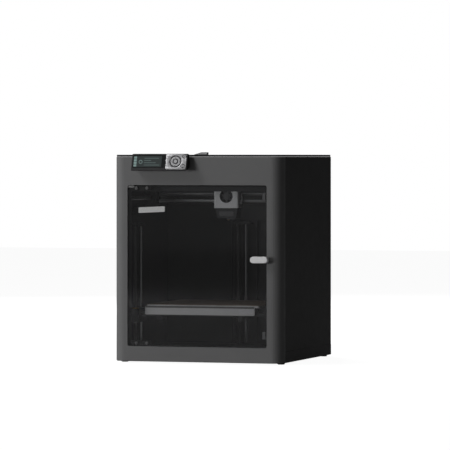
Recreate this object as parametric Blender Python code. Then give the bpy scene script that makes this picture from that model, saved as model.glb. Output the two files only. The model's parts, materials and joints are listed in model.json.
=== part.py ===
"""Enclosed desktop FDM printer, modelled as an assembly of separate named solids.

Frame: metres, +Z up. The origin is at the centre of the object's box, on the surface it stands on.
The front faces -Y and +X is to the right for someone who stands in front of it.
Depths are measured backwards from the front face: see at_depth().
"""
import math

import bmesh
import bpy
from mathutils import Matrix, Vector

# ---------------------------------------------------------------------------------------------
# Driving dimensions (metres)
# ---------------------------------------------------------------------------------------------
GAP = 0.0003                      # clearance between pieces that rest on each other
EDGE_BEVEL = 0.0015
WIDTH = 0.389
DEPTH = 0.389                     # front face to rear panel
FOOT_HEIGHT = 0.0035
BODY_TOP = 0.455
DISPLAY_REACH = 0.024             # how far the display stands in front of the front face
FRONT = DISPLAY_REACH - (DEPTH + DISPLAY_REACH) / 2
HALF_WIDTH = WIDTH / 2

# Front frame and door
FRAME_THICK = 0.028
CORNER_RADIUS = 0.025
OPENING_LEFT, OPENING_RIGHT = -0.1615, 0.160
OPENING_LOW, OPENING_HIGH = 0.037, 0.3925
DOOR_THICK = 0.0035
DOOR_LEFT, DOOR_RIGHT = OPENING_LEFT + 0.002, OPENING_RIGHT - 0.001
DOOR_LOW, DOOR_HIGH = OPENING_LOW + 0.001, OPENING_HIGH - 0.001
HINGE_X, HINGE_DEPTH = DOOR_LEFT + 0.012, 0.0063
HINGE_PIN_RADIUS = 0.0019
HINGE_PLATE_WIDTH, HINGE_PLATE_HEIGHT = 0.048, 0.012
HINGE_PLATE_OVERHANG = 0.0075                     # how far the plate reaches left of its pin
HANDLE_SIZE = (0.0404, 0.0146, 0.0150)
HANDLE_CENTRE = (0.1462, 0.2298)

# Body shell
PANEL_THICK = 0.005
SHELL_START = FRAME_THICK + GAP
BASE_TOP = 0.028
BASE_PLATE_THICK = 0.0055
REAR_PANEL_THICK = 0.0028
INNER_HALF = HALF_WIDTH - PANEL_THICK - GAP       # half the width inside the side panels
BACK_WALL = 0.345                                 # chamber back wall, front surface
BACK_WALL_THICK = 0.002
RIB_REACH = 0.005                                 # how far the back wall's ribs stand forward
LEDGE_HEIGHT = 0.310

# Main frame: a ring under the lid on four posts
RING_LOW, RING_HIGH = 0.3785, BODY_TOP - 0.0005
RING_FRONT_BEAM = 0.038
RING_REAR_BEAM = 0.378
RING_INNER_HALF = 0.176
POST_FRONT = (0.174, 0.043)                       # inner half width, rear depth
REAR_POST_INNER_HALF = 0.186
BRACKET_LOW, BRACKET_HIGH = 0.3003, 0.306

# Z axis: three lead screws and three guide rods
ROD_RADIUS = 0.004
BUSH_CLEARANCE = 0.0003
SIDE_SCREW = (0.157, 0.040)                       # half distance in X, depth
SIDE_ROD = (0.157, 0.0765)
REAR_SCREW = (-0.0095, 0.330)
REAR_ROD = (0.0095, 0.330)
ROD_TOP = 0.3045
PULLEY_RADIUS = 0.006
PULLEY_LOW, PULLEY_HIGH = 0.010, 0.020
BELT_THICK = 0.0012
BELT_WIDTH = 0.006
Z_MOTOR = (0.060, 0.3665)

# Bed
BED_HALF = 0.1335
BED_FRONT, BED_REAR = 0.0395, 0.302
SHEET_TOP = 0.1285
SHEET_THICK = 0.001
HEATBED_THICK = 0.0047
SKIRT_LEFT, SKIRT_RIGHT = -0.134, 0.1205
SKIRT_LOW = 0.1055
CARRIAGE_LOW, CARRIAGE_HIGH = 0.103, 0.111
BUSH_LOW, BUSH_HIGH = 0.088, 0.118
KNOBS = {"left": (-0.101, 0.052), "right": (0.089, 0.052), "rear": (-0.006, 0.270)}
KNOB_RADIUS, KNOB_LOW = 0.009, 0.0925

# Gantry and toolhead
GANTRY_DEPTH = 0.200
GANTRY_INNER, GANTRY_OUTER = 0.158, 0.186
GANTRY_LOW, GANTRY_HIGH = 0.346, 0.3778
X_ROD_HEIGHTS = {"upper": 0.370, "lower": 0.355}
X_ROD_HALF = 0.165
Y_ROD = (0.172, 0.3625)                           # half distance in X, height
HEAD_X = 0.0122
HEAD_HALF = 0.0294
COVER_FRONT, COVER_BACK = 0.172, 0.1895
COVER_LOW, COVER_HIGH = 0.340, 0.4075
COVER_WALL = 0.0022
HEAD_FAN_HEIGHT = 0.3665
CARRIER_DEPTHS = (0.190, 0.212)
CARRIER_HEIGHTS = (0.345, 0.380)
NOZZLE_DEPTH = 0.190
NOZZLE_TIP = 0.312
EXTRUDER_HEIGHT, EXTRUDER_RADIUS = 0.3995, 0.0180

# Rear bay
XY_MOTOR = (0.167, 0.3665)
XY_MOTOR_SIZE = 0.035
XY_PULLEY_LOW, XY_PULLEY_HIGH = 0.3838, 0.3938
IDLER_DEPTH = 0.050
FAN_X, FAN_HEIGHT, FAN_RADIUS = 0.105, 0.285, 0.036
INLET = (0.108, 0.136, 0.060, 0.082)              # X low, X high, Z low, Z high
SWITCH = (0.1440, 0.1580, 0.060, 0.082)

# Display: a wedge whose face leans back
DISPLAY_LEFT, DISPLAY_RIGHT = -0.145, -0.017
FACE_BOTTOM = (-DISPLAY_REACH, 0.4252)            # depth, height
FACE_TOP = (-0.0130, 0.4614)
DPAD = (-0.0436, 0.0204)                          # X, distance up the face
SMALL_KEYS = {"home": (-0.0234, 0.0316), "back": (-0.0258, 0.0099)}
DPAD_RADIUS, DPAD_INNER, OK_RADIUS, KEY_RADIUS = 0.0136, 0.0067, 0.0062, 0.0034

# Lid
LID_HALF, LID_FRONT, LID_REAR = 0.1940, 0.010, 0.3885
LID_LOW, LID_HIGH = BODY_TOP + GAP, 0.4594
LID_BORDER = 0.0245
TAB_HALF, TAB_DEPTHS, TAB_TOP = 0.015, (0.027, 0.037), 0.4648

# Colour (linear), roughness, metallic
FRAME_GREY = ((0.095, 0.095, 0.097), 0.55, 0.0)
SHELL_BLACK = ((0.012, 0.012, 0.013), 0.60, 0.0)
INNER_BLACK = ((0.018, 0.018, 0.019), 0.70, 0.0)
SMOKED_GLASS = ((0.010, 0.011, 0.012), 0.06, 0.0)
CLEAR_GLASS = ((0.30, 0.32, 0.32), 0.05, 0.0)
LIGHT_GREY = ((0.56, 0.56, 0.57), 0.45, 0.0)
SILVER = ((0.50, 0.50, 0.51), 0.35, 0.6)
STEEL = ((0.45, 0.45, 0.46), 0.25, 1.0)
DARK_METAL = ((0.05, 0.05, 0.052), 0.40, 0.8)
ALUMINIUM = ((0.36, 0.36, 0.37), 0.40, 1.0)
BRASS = ((0.62, 0.42, 0.16), 0.35, 1.0)
RUBBER = ((0.012, 0.012, 0.012), 0.90, 0.0)
SPRING_STEEL_SHEET = ((0.20, 0.15, 0.09), 0.70, 0.3)
HEAD_GREY = ((0.16, 0.16, 0.165), 0.45, 0.1)
TUBE_WHITE = ((0.75, 0.75, 0.73), 0.40, 0.0)

ROUND_STEPS = 32
SMALL_ROUND_STEPS = 20
CORNER_STEPS = 6
BELT_STEPS = 8
SMOOTH_ANGLE = math.radians(35)


def at_depth(depth):
    """The Y of a point that lies depth metres behind the front face."""
    return FRONT + depth


# ---------------------------------------------------------------------------------------------
# Modelling helpers
# ---------------------------------------------------------------------------------------------
def clear_scene():
    for obj in list(bpy.data.objects):
        bpy.data.objects.remove(obj, do_unlink=True)


def material(name, look):
    colour, roughness, metallic = look
    mat = bpy.data.materials.new(name)
    mat.use_nodes = True
    shader = mat.node_tree.nodes["Principled BSDF"]
    shader.inputs["Base Color"].default_value = (*colour, 1.0)
    shader.inputs["Roughness"].default_value = roughness
    shader.inputs["Metallic"].default_value = metallic
    return mat


def new_object(name, bm, origin=(0.0, 0.0, 0.0)):
    """An object whose mesh is bm, given in world coordinates, with its origin at origin."""
    bmesh.ops.recalc_face_normals(bm, faces=bm.faces)
    bmesh.ops.translate(bm, verts=bm.verts, vec=-Vector(origin))
    mesh = bpy.data.meshes.new(name)
    bm.to_mesh(mesh)
    bm.free()
    mesh.shade_smooth()
    mesh.set_sharp_from_angle(angle=SMOOTH_ANGLE)
    obj = bpy.data.objects.new(name, mesh)
    obj.location = origin
    bpy.context.collection.objects.link(obj)
    return obj


def part(name, bm, look, origin=(0.0, 0.0, 0.0)):
    obj = new_object(name, bm, origin)
    obj.data.materials.append(material(name + "_material", look))
    return obj


def boolean(target, bm, operation):
    """Cut bm's solid out of the target, or join it on, with an EXACT Boolean modifier."""
    tool = new_object("tool_for_" + target.name, bm)
    tool.hide_render = True
    tool.display_type = "WIRE"
    modifier = target.modifiers.new(operation.lower(), "BOOLEAN")
    modifier.operation = operation
    modifier.solver = "EXACT"
    modifier.object = tool


def carve(target, *meshes):
    for bm in meshes:
        boolean(target, bm, "DIFFERENCE")


def weld(target, *meshes):
    for bm in meshes:
        boolean(target, bm, "UNION")


def settle_booleans():
    """Apply every Boolean, mark the sharp edges that it made, and take its tool away."""
    bpy.context.view_layer.update()
    graph = bpy.context.evaluated_depsgraph_get()
    cut = [obj for obj in bpy.data.objects if obj.modifiers]
    meshes = [bpy.data.meshes.new_from_object(obj.evaluated_get(graph)) for obj in cut]
    tools = {modifier.object for obj in cut for modifier in obj.modifiers}
    for obj, mesh in zip(cut, meshes):
        obj.modifiers.clear()
        obj.data = mesh
        mesh.shade_smooth()
        mesh.set_sharp_from_angle(angle=SMOOTH_ANGLE)
    for tool in tools:
        bpy.data.objects.remove(tool, do_unlink=True)


def box(x, depth, z):
    """A box from (low, high) pairs in X, depth and Z."""
    return prism(rectangle(x, (at_depth(depth[0]), at_depth(depth[1]))), z, "Z")


def boxes(*ranges):
    bm = bmesh.new()
    for x, depth, z in ranges:
        add_prism(bm, rectangle(x, (at_depth(depth[0]), at_depth(depth[1]))), z, "Z")
    return bm


def rectangle(u, v):
    return [(u[0], v[0]), (u[1], v[0]), (u[1], v[1]), (u[0], v[1])]


def rounded(u, v, radii, steps=CORNER_STEPS):
    """A rectangle outline with its own radius at each corner, from low u, low v round to low u, high v."""
    corners = [(u[0], v[0], 180), (u[1], v[0], 270), (u[1], v[1], 0), (u[0], v[1], 90)]
    inward = [(1, 1), (-1, 1), (-1, -1), (1, -1)]
    outline = []
    for (cu, cv, start), (du, dv), radius in zip(corners, inward, radii):
        if radius == 0:
            outline.append((cu, cv))
            continue
        for step in range(steps + 1):
            angle = math.radians(start + 90 * step / steps)
            u_here = cu + du * radius + radius * math.cos(angle)
            v_here = cv + dv * radius + radius * math.sin(angle)
            outline.append((u_here, v_here))
    return outline


def circle(centre, radius, steps=ROUND_STEPS):
    turns = [2 * math.pi * step / steps for step in range(steps)]
    return [(centre[0] + radius * math.cos(t), centre[1] + radius * math.sin(t)) for t in turns]


def lift(point, height, axis):
    """A 2D outline point put in space: the outline's axes are XY for Z, XZ for Y and YZ for X."""
    if axis == "Z":
        return Vector((point[0], point[1], height))
    if axis == "Y":
        return Vector((point[0], height, point[1]))
    return Vector((height, point[0], point[1]))


def add_prism(bm, outline, span, axis, hole=None):
    """Add the outline, extruded along the axis over the span, less a hole of its own outline."""
    rings = []
    for path in [outline] + ([hole] if hole else []):
        low = [bm.verts.new(lift(point, span[0], axis)) for point in path]
        high = [bm.verts.new(lift(point, span[1], axis)) for point in path]
        rings.append((low, high))
        for i in range(len(path)):
            j = (i + 1) % len(path)
            bm.faces.new((low[i], low[j], high[j], high[i]))
    if not hole:
        bm.faces.new(rings[0][0])
        bm.faces.new(rings[0][1])
        return
    for end in (0, 1):
        outer, inner = rings[0][end], rings[1][end]
        for i in range(len(outer)):
            j = (i + 1) % len(outer)
            bm.faces.new((outer[i], outer[j], inner[j], inner[i]))


def prism(outline, span, axis, hole=None):
    bm = bmesh.new()
    add_prism(bm, outline, span, axis, hole)
    return bm


def rod(centre, radius, span, axis="Z", steps=ROUND_STEPS):
    """A cylinder along the axis. The centre is (X, depth), (X, height) or (depth, height)."""
    if axis == "Z":
        return prism(circle((centre[0], at_depth(centre[1])), radius, steps), span, axis)
    if axis == "Y":
        return prism(circle(centre, radius, steps), (at_depth(span[0]), at_depth(span[1])), axis)
    return prism(circle((at_depth(centre[0]), centre[1]), radius, steps), span, axis)


def turned(profile, centre, axis="Z", steps=ROUND_STEPS, bored=False):
    """A turned solid. The profile is (radius, place along the axis); a bored one is a closed loop."""
    bm = bmesh.new()
    origin = (centre[0], at_depth(centre[1])) if axis == "Z" else centre
    rings = []
    for radius, place in profile:
        along = place if axis == "Z" else at_depth(place)
        if radius == 0:
            rings.append([bm.verts.new(lift(origin, along, axis))])
            continue
        rings.append([bm.verts.new(lift(point, along, axis)) for point in circle(origin, radius, steps)])
    pairs = list(zip(rings, rings[1:])) + ([(rings[-1], rings[0])] if bored else [])
    for first, second in pairs:
        for i in range(steps):
            j = (i + 1) % steps
            quad = [first[i % len(first)], first[j % len(first)]]
            quad += [second[j % len(second)], second[i % len(second)]]
            bm.faces.new(list(dict.fromkeys(quad)))
    return bm


def bevelled(bm, width, segments, chosen):
    """Bevel the sharp edges for which chosen(middle, direction) is true."""
    bmesh.ops.recalc_face_normals(bm, faces=bm.faces)
    edges = []
    for edge in bm.edges:
        ends = [vert.co for vert in edge.verts]
        direction = (ends[1] - ends[0]).normalized()
        sharp = abs(edge.calc_face_angle(0.0)) > math.radians(30)
        if sharp and chosen((ends[0] + ends[1]) / 2, direction):
            edges.append(edge)
    bmesh.ops.bevel(bm, geom=edges, offset=width, segments=segments, profile=0.5, affect="EDGES")
    return bm


def fan_rotor(name, centre, radius, hub_radius, span, blades, look):
    """A fan wheel about a Y axis: a hub whose blades twist as they go along it."""
    layers, blade_turn, twist = 4, 0.42 * 2 * math.pi / blades, math.radians(28)
    bm = bmesh.new()
    rings = []
    for layer in range(layers + 1):
        share = layer / layers
        ring = []
        for blade in range(blades):
            start = 2 * math.pi * blade / blades + twist * share
            sweep = [(0, hub_radius), (0.15, (hub_radius + radius) / 2), (0.35, radius), (0.7, radius)]
            sweep += [(1.0, radius), (0.95, (hub_radius + radius) / 2), (1.0, hub_radius)]
            sweep += [(1.7, hub_radius)]
            for along, r in sweep:
                angle = start + along * blade_turn
                point = (centre[0] + r * math.cos(angle), centre[1] + r * math.sin(angle))
                place = at_depth(span[0] + (span[1] - span[0]) * share)
                ring.append(bm.verts.new(lift(point, place, "Y")))
        rings.append(ring)
    for first, second in zip(rings, rings[1:]):
        for i in range(len(first)):
            j = (i + 1) % len(first)
            bm.faces.new((first[i], first[j], second[j], second[i]))
    bm.faces.new(rings[0])
    bm.faces.new(rings[-1])
    middle = at_depth((span[0] + span[1]) / 2)
    return part(name, bm, look, (centre[0], middle, centre[1]))


def belt_loop(pulleys, radius, heights):
    """A flat belt round pulleys given as (X, depth), in order, clockwise seen from above."""
    outer, inner = [], []
    count = len(pulleys)
    for i, (x, depth) in enumerate(pulleys):
        before = Vector(pulleys[i - 1])
        after = Vector(pulleys[(i + 1) % count])
        here = Vector((x, depth))
        arrive, leave = (here - before).normalized(), (after - here).normalized()
        start, end = math.atan2(arrive.x, -arrive.y), math.atan2(leave.x, -leave.y)
        turn = (start - end) % (2 * math.pi)
        for step in range(BELT_STEPS + 1):
            angle = start - turn * step / BELT_STEPS
            for path, r in ((outer, radius + BELT_THICK), (inner, radius)):
                path.append((x + r * math.cos(angle), at_depth(depth + r * math.sin(angle))))
    return prism(outer, heights, "Z", inner)


def on_empty(name, place, *objects):
    """Parent the objects to an empty on their joint's axis, and leave them where they are."""
    empty = bpy.data.objects.new(name, None)
    empty.location = place
    bpy.context.collection.objects.link(empty)
    for obj in objects:
        obj.location = obj.location - Vector(place)
        obj.parent = empty
    return empty


def mirrored(side, low, high):
    """The X range (low, high) on the right side, or its mirror image on the left."""
    return (low, high) if side > 0 else (-high, -low)


SIDES = {"left": -1, "right": 1}


# ---------------------------------------------------------------------------------------------
# Shell
# ---------------------------------------------------------------------------------------------
def build_front_frame():
    outline = rounded((-HALF_WIDTH, HALF_WIDTH), (at_depth(0), at_depth(FRAME_THICK)),
                      (CORNER_RADIUS, CORNER_RADIUS, 0, 0), 8)
    bm = prism(outline, (FOOT_HEIGHT, BODY_TOP), "Z")
    level = (FOOT_HEIGHT, BODY_TOP)
    rear = at_depth(FRAME_THICK) - 1e-4
    bevelled(bm, EDGE_BEVEL, 2, lambda middle, way: abs(way.z) < 0.5 and middle.y < rear
             and min(abs(middle.z - z) for z in level) < 1e-5)
    frame = part("front_frame", bm, FRAME_GREY)
    opening = prism(rounded((OPENING_LEFT, OPENING_RIGHT), (OPENING_LOW, OPENING_HIGH), (0.004,) * 4),
                    (at_depth(-0.01), at_depth(FRAME_THICK + 0.01)), "Y")
    pin_hole = HINGE_PIN_RADIUS + BUSH_CLEARANCE
    centre = (HINGE_X, HINGE_DEPTH)
    carve(frame, opening,
          rod(centre, pin_hole, (OPENING_HIGH - 0.005, OPENING_HIGH + 0.006), "Z", SMALL_ROUND_STEPS),
          rod(centre, pin_hole, (OPENING_LOW - 0.006, OPENING_LOW + 0.005), "Z", SMALL_ROUND_STEPS))


def build_panels():
    for side_name, side in SIDES.items():
        bm = box(mirrored(side, HALF_WIDTH - PANEL_THICK, HALF_WIDTH), (SHELL_START, DEPTH),
                 (BASE_TOP + GAP, BODY_TOP))
        outer = side * HALF_WIDTH
        bevelled(bm, EDGE_BEVEL, 2, lambda middle, way: abs(middle.x - outer) < 1e-5
                 and (middle.z > BODY_TOP - 1e-4 or middle.y > at_depth(DEPTH) - 1e-4))
        part(side_name + "_panel", bm, SHELL_BLACK)


def build_base():
    bm = box((-HALF_WIDTH, HALF_WIDTH), (SHELL_START, DEPTH), (FOOT_HEIGHT, BASE_TOP))
    bevelled(bm, EDGE_BEVEL, 2, lambda middle, way: abs(middle.z - FOOT_HEIGHT) < 1e-5
             and abs(middle.y - at_depth(SHELL_START)) > 1e-4)
    tray = part("base_tray", bm, SHELL_BLACK)
    wall, pad = 0.003, 0.0245
    x_out, x_pad = HALF_WIDTH - wall, HALF_WIDTH - pad
    d_out = (SHELL_START + wall, DEPTH - wall)
    d_pad = (SHELL_START + pad, DEPTH - pad)
    hollow = [(-x_pad, d_out[0]), (x_pad, d_out[0]), (x_pad, d_pad[0]), (x_out, d_pad[0]),
              (x_out, d_pad[1]), (x_pad, d_pad[1]), (x_pad, d_out[1]), (-x_pad, d_out[1]),
              (-x_pad, d_pad[1]), (-x_out, d_pad[1]), (-x_out, d_pad[0]), (-x_pad, d_pad[0])]
    hollow = [(x, at_depth(depth)) for x, depth in hollow]
    carve(tray, prism(hollow, (0.0, BASE_TOP - BASE_PLATE_THICK), "Z"))
    hole_span = (BASE_TOP - BASE_PLATE_THICK - 0.002, BASE_TOP + 0.002)
    for place in (SIDE_SCREW, (-SIDE_SCREW[0], SIDE_SCREW[1]), REAR_SCREW, Z_MOTOR):
        carve(tray, rod(place, ROD_RADIUS + 0.0006, hole_span, "Z", SMALL_ROUND_STEPS))


def build_feet():
    for end_name, depth in (("front", 0.040), ("rear", DEPTH - 0.016)):
        for side_name, side in SIDES.items():
            profile = [(0, 0), (0.0068, 0), (0.0080, 0.0010), (0.0080, 0.0024), (0.0074, FOOT_HEIGHT - GAP),
                       (0, FOOT_HEIGHT - GAP)]
            bm = turned(profile, (side * 0.181, depth), "Z", SMALL_ROUND_STEPS)
            part(f"foot_{end_name}_{side_name}", bm, RUBBER)


def grille_slots(centre, radius, boss_radius, count, bar, depths):
    """Level slots that fill a circle, kept clear of a round boss in its middle."""
    ranges = []
    pitch = 2 * radius / count
    for row in range(count):
        low = -radius + pitch * row + bar / 2
        high = low + pitch - bar
        reach = math.sqrt(max(radius ** 2 - max(abs(low), abs(high)) ** 2, 0))
        if reach < 0.006:
            continue
        nearest = 0 if low < 0 < high else min(abs(low), abs(high))
        inner = math.sqrt(boss_radius ** 2 - nearest ** 2) if nearest < boss_radius else 0
        spans = [(-reach, reach)] if inner == 0 else [(-reach, -inner), (inner, reach)]
        for span in spans:
            x = (centre[0] + span[0], centre[0] + span[1])
            ranges.append((x, depths, (centre[1] + low, centre[1] + high)))
    return boxes(*ranges)


def build_rear_panel():
    plate = (DEPTH - REAR_PANEL_THICK, DEPTH)
    bm = box((-INNER_HALF, INNER_HALF), plate, (BASE_TOP + GAP, RING_HIGH))
    panel = part("rear_panel", bm, SHELL_BLACK)
    centre = (FAN_X, FAN_HEIGHT)
    shroud_span = (at_depth(0.352), at_depth(plate[0] + 0.001))
    shroud = prism(circle(centre, FAN_RADIUS + 0.0025), shroud_span, "Y", circle(centre, FAN_RADIUS))
    weld(panel, shroud, rod(centre, 0.0105, (0.3775, plate[0] + 0.001), "Y", SMALL_ROUND_STEPS))
    through = (plate[0] - 0.002, plate[1] + 0.002)
    carve(panel, grille_slots(centre, FAN_RADIUS - 0.0015, 0.0125, 9, 0.0028, through))
    openings = []
    for x_low, x_high, z_low, z_high in (INLET, SWITCH):
        openings.append(((x_low - GAP, x_high + GAP), through, (z_low - GAP, z_high + GAP)))
    carve(panel, boxes(*openings))


def build_main_frame():
    bm = box((-INNER_HALF, INNER_HALF), (SHELL_START, DEPTH - REAR_PANEL_THICK - GAP), (RING_LOW, RING_HIGH))
    frame = part("main_frame", bm, DARK_METAL)
    carve(frame, box((-RING_INNER_HALF, RING_INNER_HALF), (RING_FRONT_BEAM, RING_REAR_BEAM),
                     (RING_LOW - 0.01, RING_HIGH + 0.01)))
    overlap = 0.004
    post_span = (BASE_TOP + GAP, RING_LOW + overlap)
    rear = DEPTH - REAR_PANEL_THICK - GAP
    for side in SIDES.values():
        weld(frame, box(mirrored(side, POST_FRONT[0], INNER_HALF), (SHELL_START, POST_FRONT[1]), post_span),
             box(mirrored(side, REAR_POST_INNER_HALF, INNER_HALF), (rear - 0.014, rear), post_span),
             box(mirrored(side, 0.149, INNER_HALF - 0.001), (SHELL_START + 0.001, 0.087),
                 (BRACKET_LOW, BRACKET_HIGH)))
        for place in (SIDE_SCREW, SIDE_ROD):
            carve(frame, rod((side * place[0], place[1]), ROD_RADIUS + BUSH_CLEARANCE,
                             (BRACKET_LOW - 0.002, BRACKET_HIGH + 0.002), "Z", SMALL_ROUND_STEPS))


def build_back_wall():
    rear = BACK_WALL + BACK_WALL_THICK
    top = 0.375
    wall = part("chamber_back_wall", box((-0.185, 0.185), (BACK_WALL, rear), (BASE_TOP + GAP, top)),
                INNER_BLACK)
    depths = (BACK_WALL - RIB_REACH, rear - 0.0005)
    weld(wall, box((-0.160, 0.160), depths, (LEDGE_HEIGHT, top - 0.001)),
         box((-0.0384, -0.0264), depths, (BASE_TOP + 0.001, LEDGE_HEIGHT + 0.001)),
         box((0.0180, 0.0336), depths, (BASE_TOP + 0.001, LEDGE_HEIGHT + 0.001)),
         box((-0.024, 0.024), (0.3175, rear - 0.0005), (BRACKET_LOW, BRACKET_HIGH)))
    carve(wall, rod((FAN_X, FAN_HEIGHT), 0.0235, (BACK_WALL - 0.01, rear + 0.002), "Y"))
    for place in (REAR_SCREW, REAR_ROD):
        carve(wall, rod(place, ROD_RADIUS + BUSH_CLEARANCE, (BRACKET_LOW - 0.002, BRACKET_HIGH + 0.002),
                        "Z", SMALL_ROUND_STEPS))


# ---------------------------------------------------------------------------------------------
# Door and lid
# ---------------------------------------------------------------------------------------------
def build_door():
    hinge_axis = (HINGE_X, at_depth(HINGE_DEPTH), 0.0)
    glass = part("door_glass", prism(rounded((DOOR_LEFT, DOOR_RIGHT), (DOOR_LOW, DOOR_HIGH), (0.003,) * 4),
                                     (at_depth(0), at_depth(DOOR_THICK)), "Y"), SMOKED_GLASS)
    width, height, reach = HANDLE_SIZE
    x = (HANDLE_CENTRE[0] - width / 2, HANDLE_CENTRE[0] + width / 2)
    z = (HANDLE_CENTRE[1] - height / 2, HANDLE_CENTRE[1] + height / 2)
    bm = prism(rounded(x, z, (height / 2 - 0.0001,) * 4, 8), (at_depth(-reach), at_depth(-GAP)), "Y")
    bevelled(bm, 0.002, 3, lambda middle, way: middle.y < at_depth(-reach) + 1e-5)
    handle = part("door_handle", bm, LIGHT_GREY)
    pieces = [glass, handle]
    pin_high = (DOOR_HIGH - 0.002, OPENING_HIGH + 0.005)
    pin_low = (OPENING_LOW - 0.005, DOOR_LOW + 0.002)
    upper_base = DOOR_HIGH - HINGE_PLATE_HEIGHT
    for name, base, pin in (("upper", upper_base, pin_high), ("lower", DOOR_LOW, pin_low)):
        plate_left = HINGE_X - HINGE_PLATE_OVERHANG
        plate_x = (plate_left, plate_left + HINGE_PLATE_WIDTH)
        plate_z = (base + 0.0005, base + HINGE_PLATE_HEIGHT - 0.0005)
        bm = prism(rounded(plate_x, plate_z, (0.0025,) * 4),
                   (at_depth(DOOR_THICK + GAP), at_depth(0.010)), "Y")
        hinge = part("door_hinge_" + name, bm, SHELL_BLACK)
        weld(hinge, rod((HINGE_X, HINGE_DEPTH), HINGE_PIN_RADIUS, pin, "Z", SMALL_ROUND_STEPS))
        pieces.append(hinge)
    on_empty("door_pivot", hinge_axis, *pieces)


def build_lid():
    x, depths = (-LID_HALF, LID_HALF), (at_depth(LID_FRONT), at_depth(LID_REAR))
    inner_x = (x[0] + LID_BORDER, x[1] - LID_BORDER)
    inner_y = (depths[0] + LID_BORDER, depths[1] - LID_BORDER)
    bm = prism(rounded(x, depths, (0.014, 0.014, 0.004, 0.004)), (LID_LOW, LID_HIGH), "Z",
               rounded(inner_x, inner_y, (0.006,) * 4))
    frame = part("lid_frame", bm, SHELL_BLACK)
    tab_outline = [(-TAB_HALF, LID_LOW + 0.0005), (TAB_HALF, LID_LOW + 0.0005), (TAB_HALF, TAB_TOP),
                   (0.0015, TAB_TOP), (-TAB_HALF, LID_HIGH + 0.0006)]
    tab = prism(tab_outline, (at_depth(TAB_DEPTHS[0]), at_depth(TAB_DEPTHS[1])), "Y")
    bevelled(tab, 0.0008, 2, lambda middle, way: middle.z > LID_HIGH + 0.0008)
    inner_edge = LID_FRONT + LID_BORDER
    weld(frame, tab)
    pane = rounded((inner_x[0] + GAP, inner_x[1] - GAP), (inner_y[0] + GAP, inner_y[1] - GAP), (0.0057,) * 4)
    glass = part("lid_glass", prism(pane, (LID_LOW + GAP, LID_HIGH - GAP), "Z"), CLEAR_GLASS)
    clear = box((-TAB_HALF - GAP, TAB_HALF + GAP), (inner_edge - 0.01, TAB_DEPTHS[1] + GAP),
                (LID_LOW - 0.002, LID_HIGH + 0.002))
    carve(glass, clear)
    on_empty("lid_lift_axis", (0.0, at_depth((LID_FRONT + LID_REAR) / 2), LID_LOW), frame, glass)


# ---------------------------------------------------------------------------------------------
# Display and keys
# ---------------------------------------------------------------------------------------------
def face_matrix(x, up):
    """The frame of a spot on the display's face: X across, Y up the face, Z out of it."""
    low = Vector((0, at_depth(FACE_BOTTOM[0]), FACE_BOTTOM[1]))
    high = Vector((0, at_depth(FACE_TOP[0]), FACE_TOP[1]))
    slope = (high - low).normalized()
    out = Vector((1, 0, 0)).cross(slope)
    place = low + slope * up + Vector((x, 0, 0))
    return Matrix.Translation(place) @ Matrix((Vector((1, 0, 0)), slope, out)).transposed().to_4x4()


def on_face(bm, x, up):
    bmesh.ops.transform(bm, matrix=face_matrix(x, up), verts=bm.verts)
    return bm


def key_mesh(radius, low, high, inner=None):
    hole = circle((0, 0), inner) if inner else None
    bm = prism(circle((0, 0), radius), (low, high), "Z", hole)
    return bevelled(bm, 0.0005, 2, lambda middle, way: middle.z > high - 1e-6)


def build_display():
    chamfer = 0.0012
    slope = Vector((FACE_TOP[0] - FACE_BOTTOM[0], FACE_TOP[1] - FACE_BOTTOM[1])).normalized() * chamfer
    profile = [(-GAP, FACE_BOTTOM[1] + 0.003), (FACE_BOTTOM[0] + chamfer, FACE_BOTTOM[1] - chamfer),
               FACE_BOTTOM, (FACE_TOP[0] - slope.x, FACE_TOP[1] - slope.y),
               (FACE_TOP[0] + chamfer, FACE_TOP[1]), (-GAP, FACE_TOP[1])]
    outline = [(at_depth(depth), height) for depth, height in profile]
    bm = prism(outline, (DISPLAY_LEFT, DISPLAY_RIGHT), "X")
    bevelled(bm, 0.0045, 4, lambda middle, way: abs(way.y) > 0.9)
    bevelled(bm, 0.0012, 2, lambda middle, way: abs(way.x) < 0.5 and middle.y < at_depth(-0.004)
             and abs(way.z) > 0.8)
    housing = part("display_housing", bm, SHELL_BLACK)
    window = prism(rounded((-0.1425, -0.0680), (0.0055, 0.0354), (0.002,) * 4, 4), (-0.0012, 0.002), "Z")
    carve(housing, on_face(window, 0.0, 0.0),
          on_face(prism(circle((0, 0), DPAD_RADIUS + 0.0004), (-0.0055, 0.002), "Z"), *DPAD))
    for place in SMALL_KEYS.values():
        well = prism(circle((0, 0), KEY_RADIUS + 0.0003, SMALL_ROUND_STEPS), (-0.0045, 0.002), "Z")
        carve(housing, on_face(well, *place))
    key_parts = [("dpad_ring", DPAD, key_mesh(DPAD_RADIUS, -0.0042, 0.0008, DPAD_INNER)),
                 ("ok_button", DPAD, key_mesh(OK_RADIUS, -0.0042, 0.0012))]
    for name, place in SMALL_KEYS.items():
        key_parts.append((name + "_button", place, key_mesh(KEY_RADIUS, -0.0033, 0.0008)))
    for name, place, bm in key_parts:
        part(name, on_face(bm, *place), SILVER, face_matrix(*place).translation)


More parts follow.
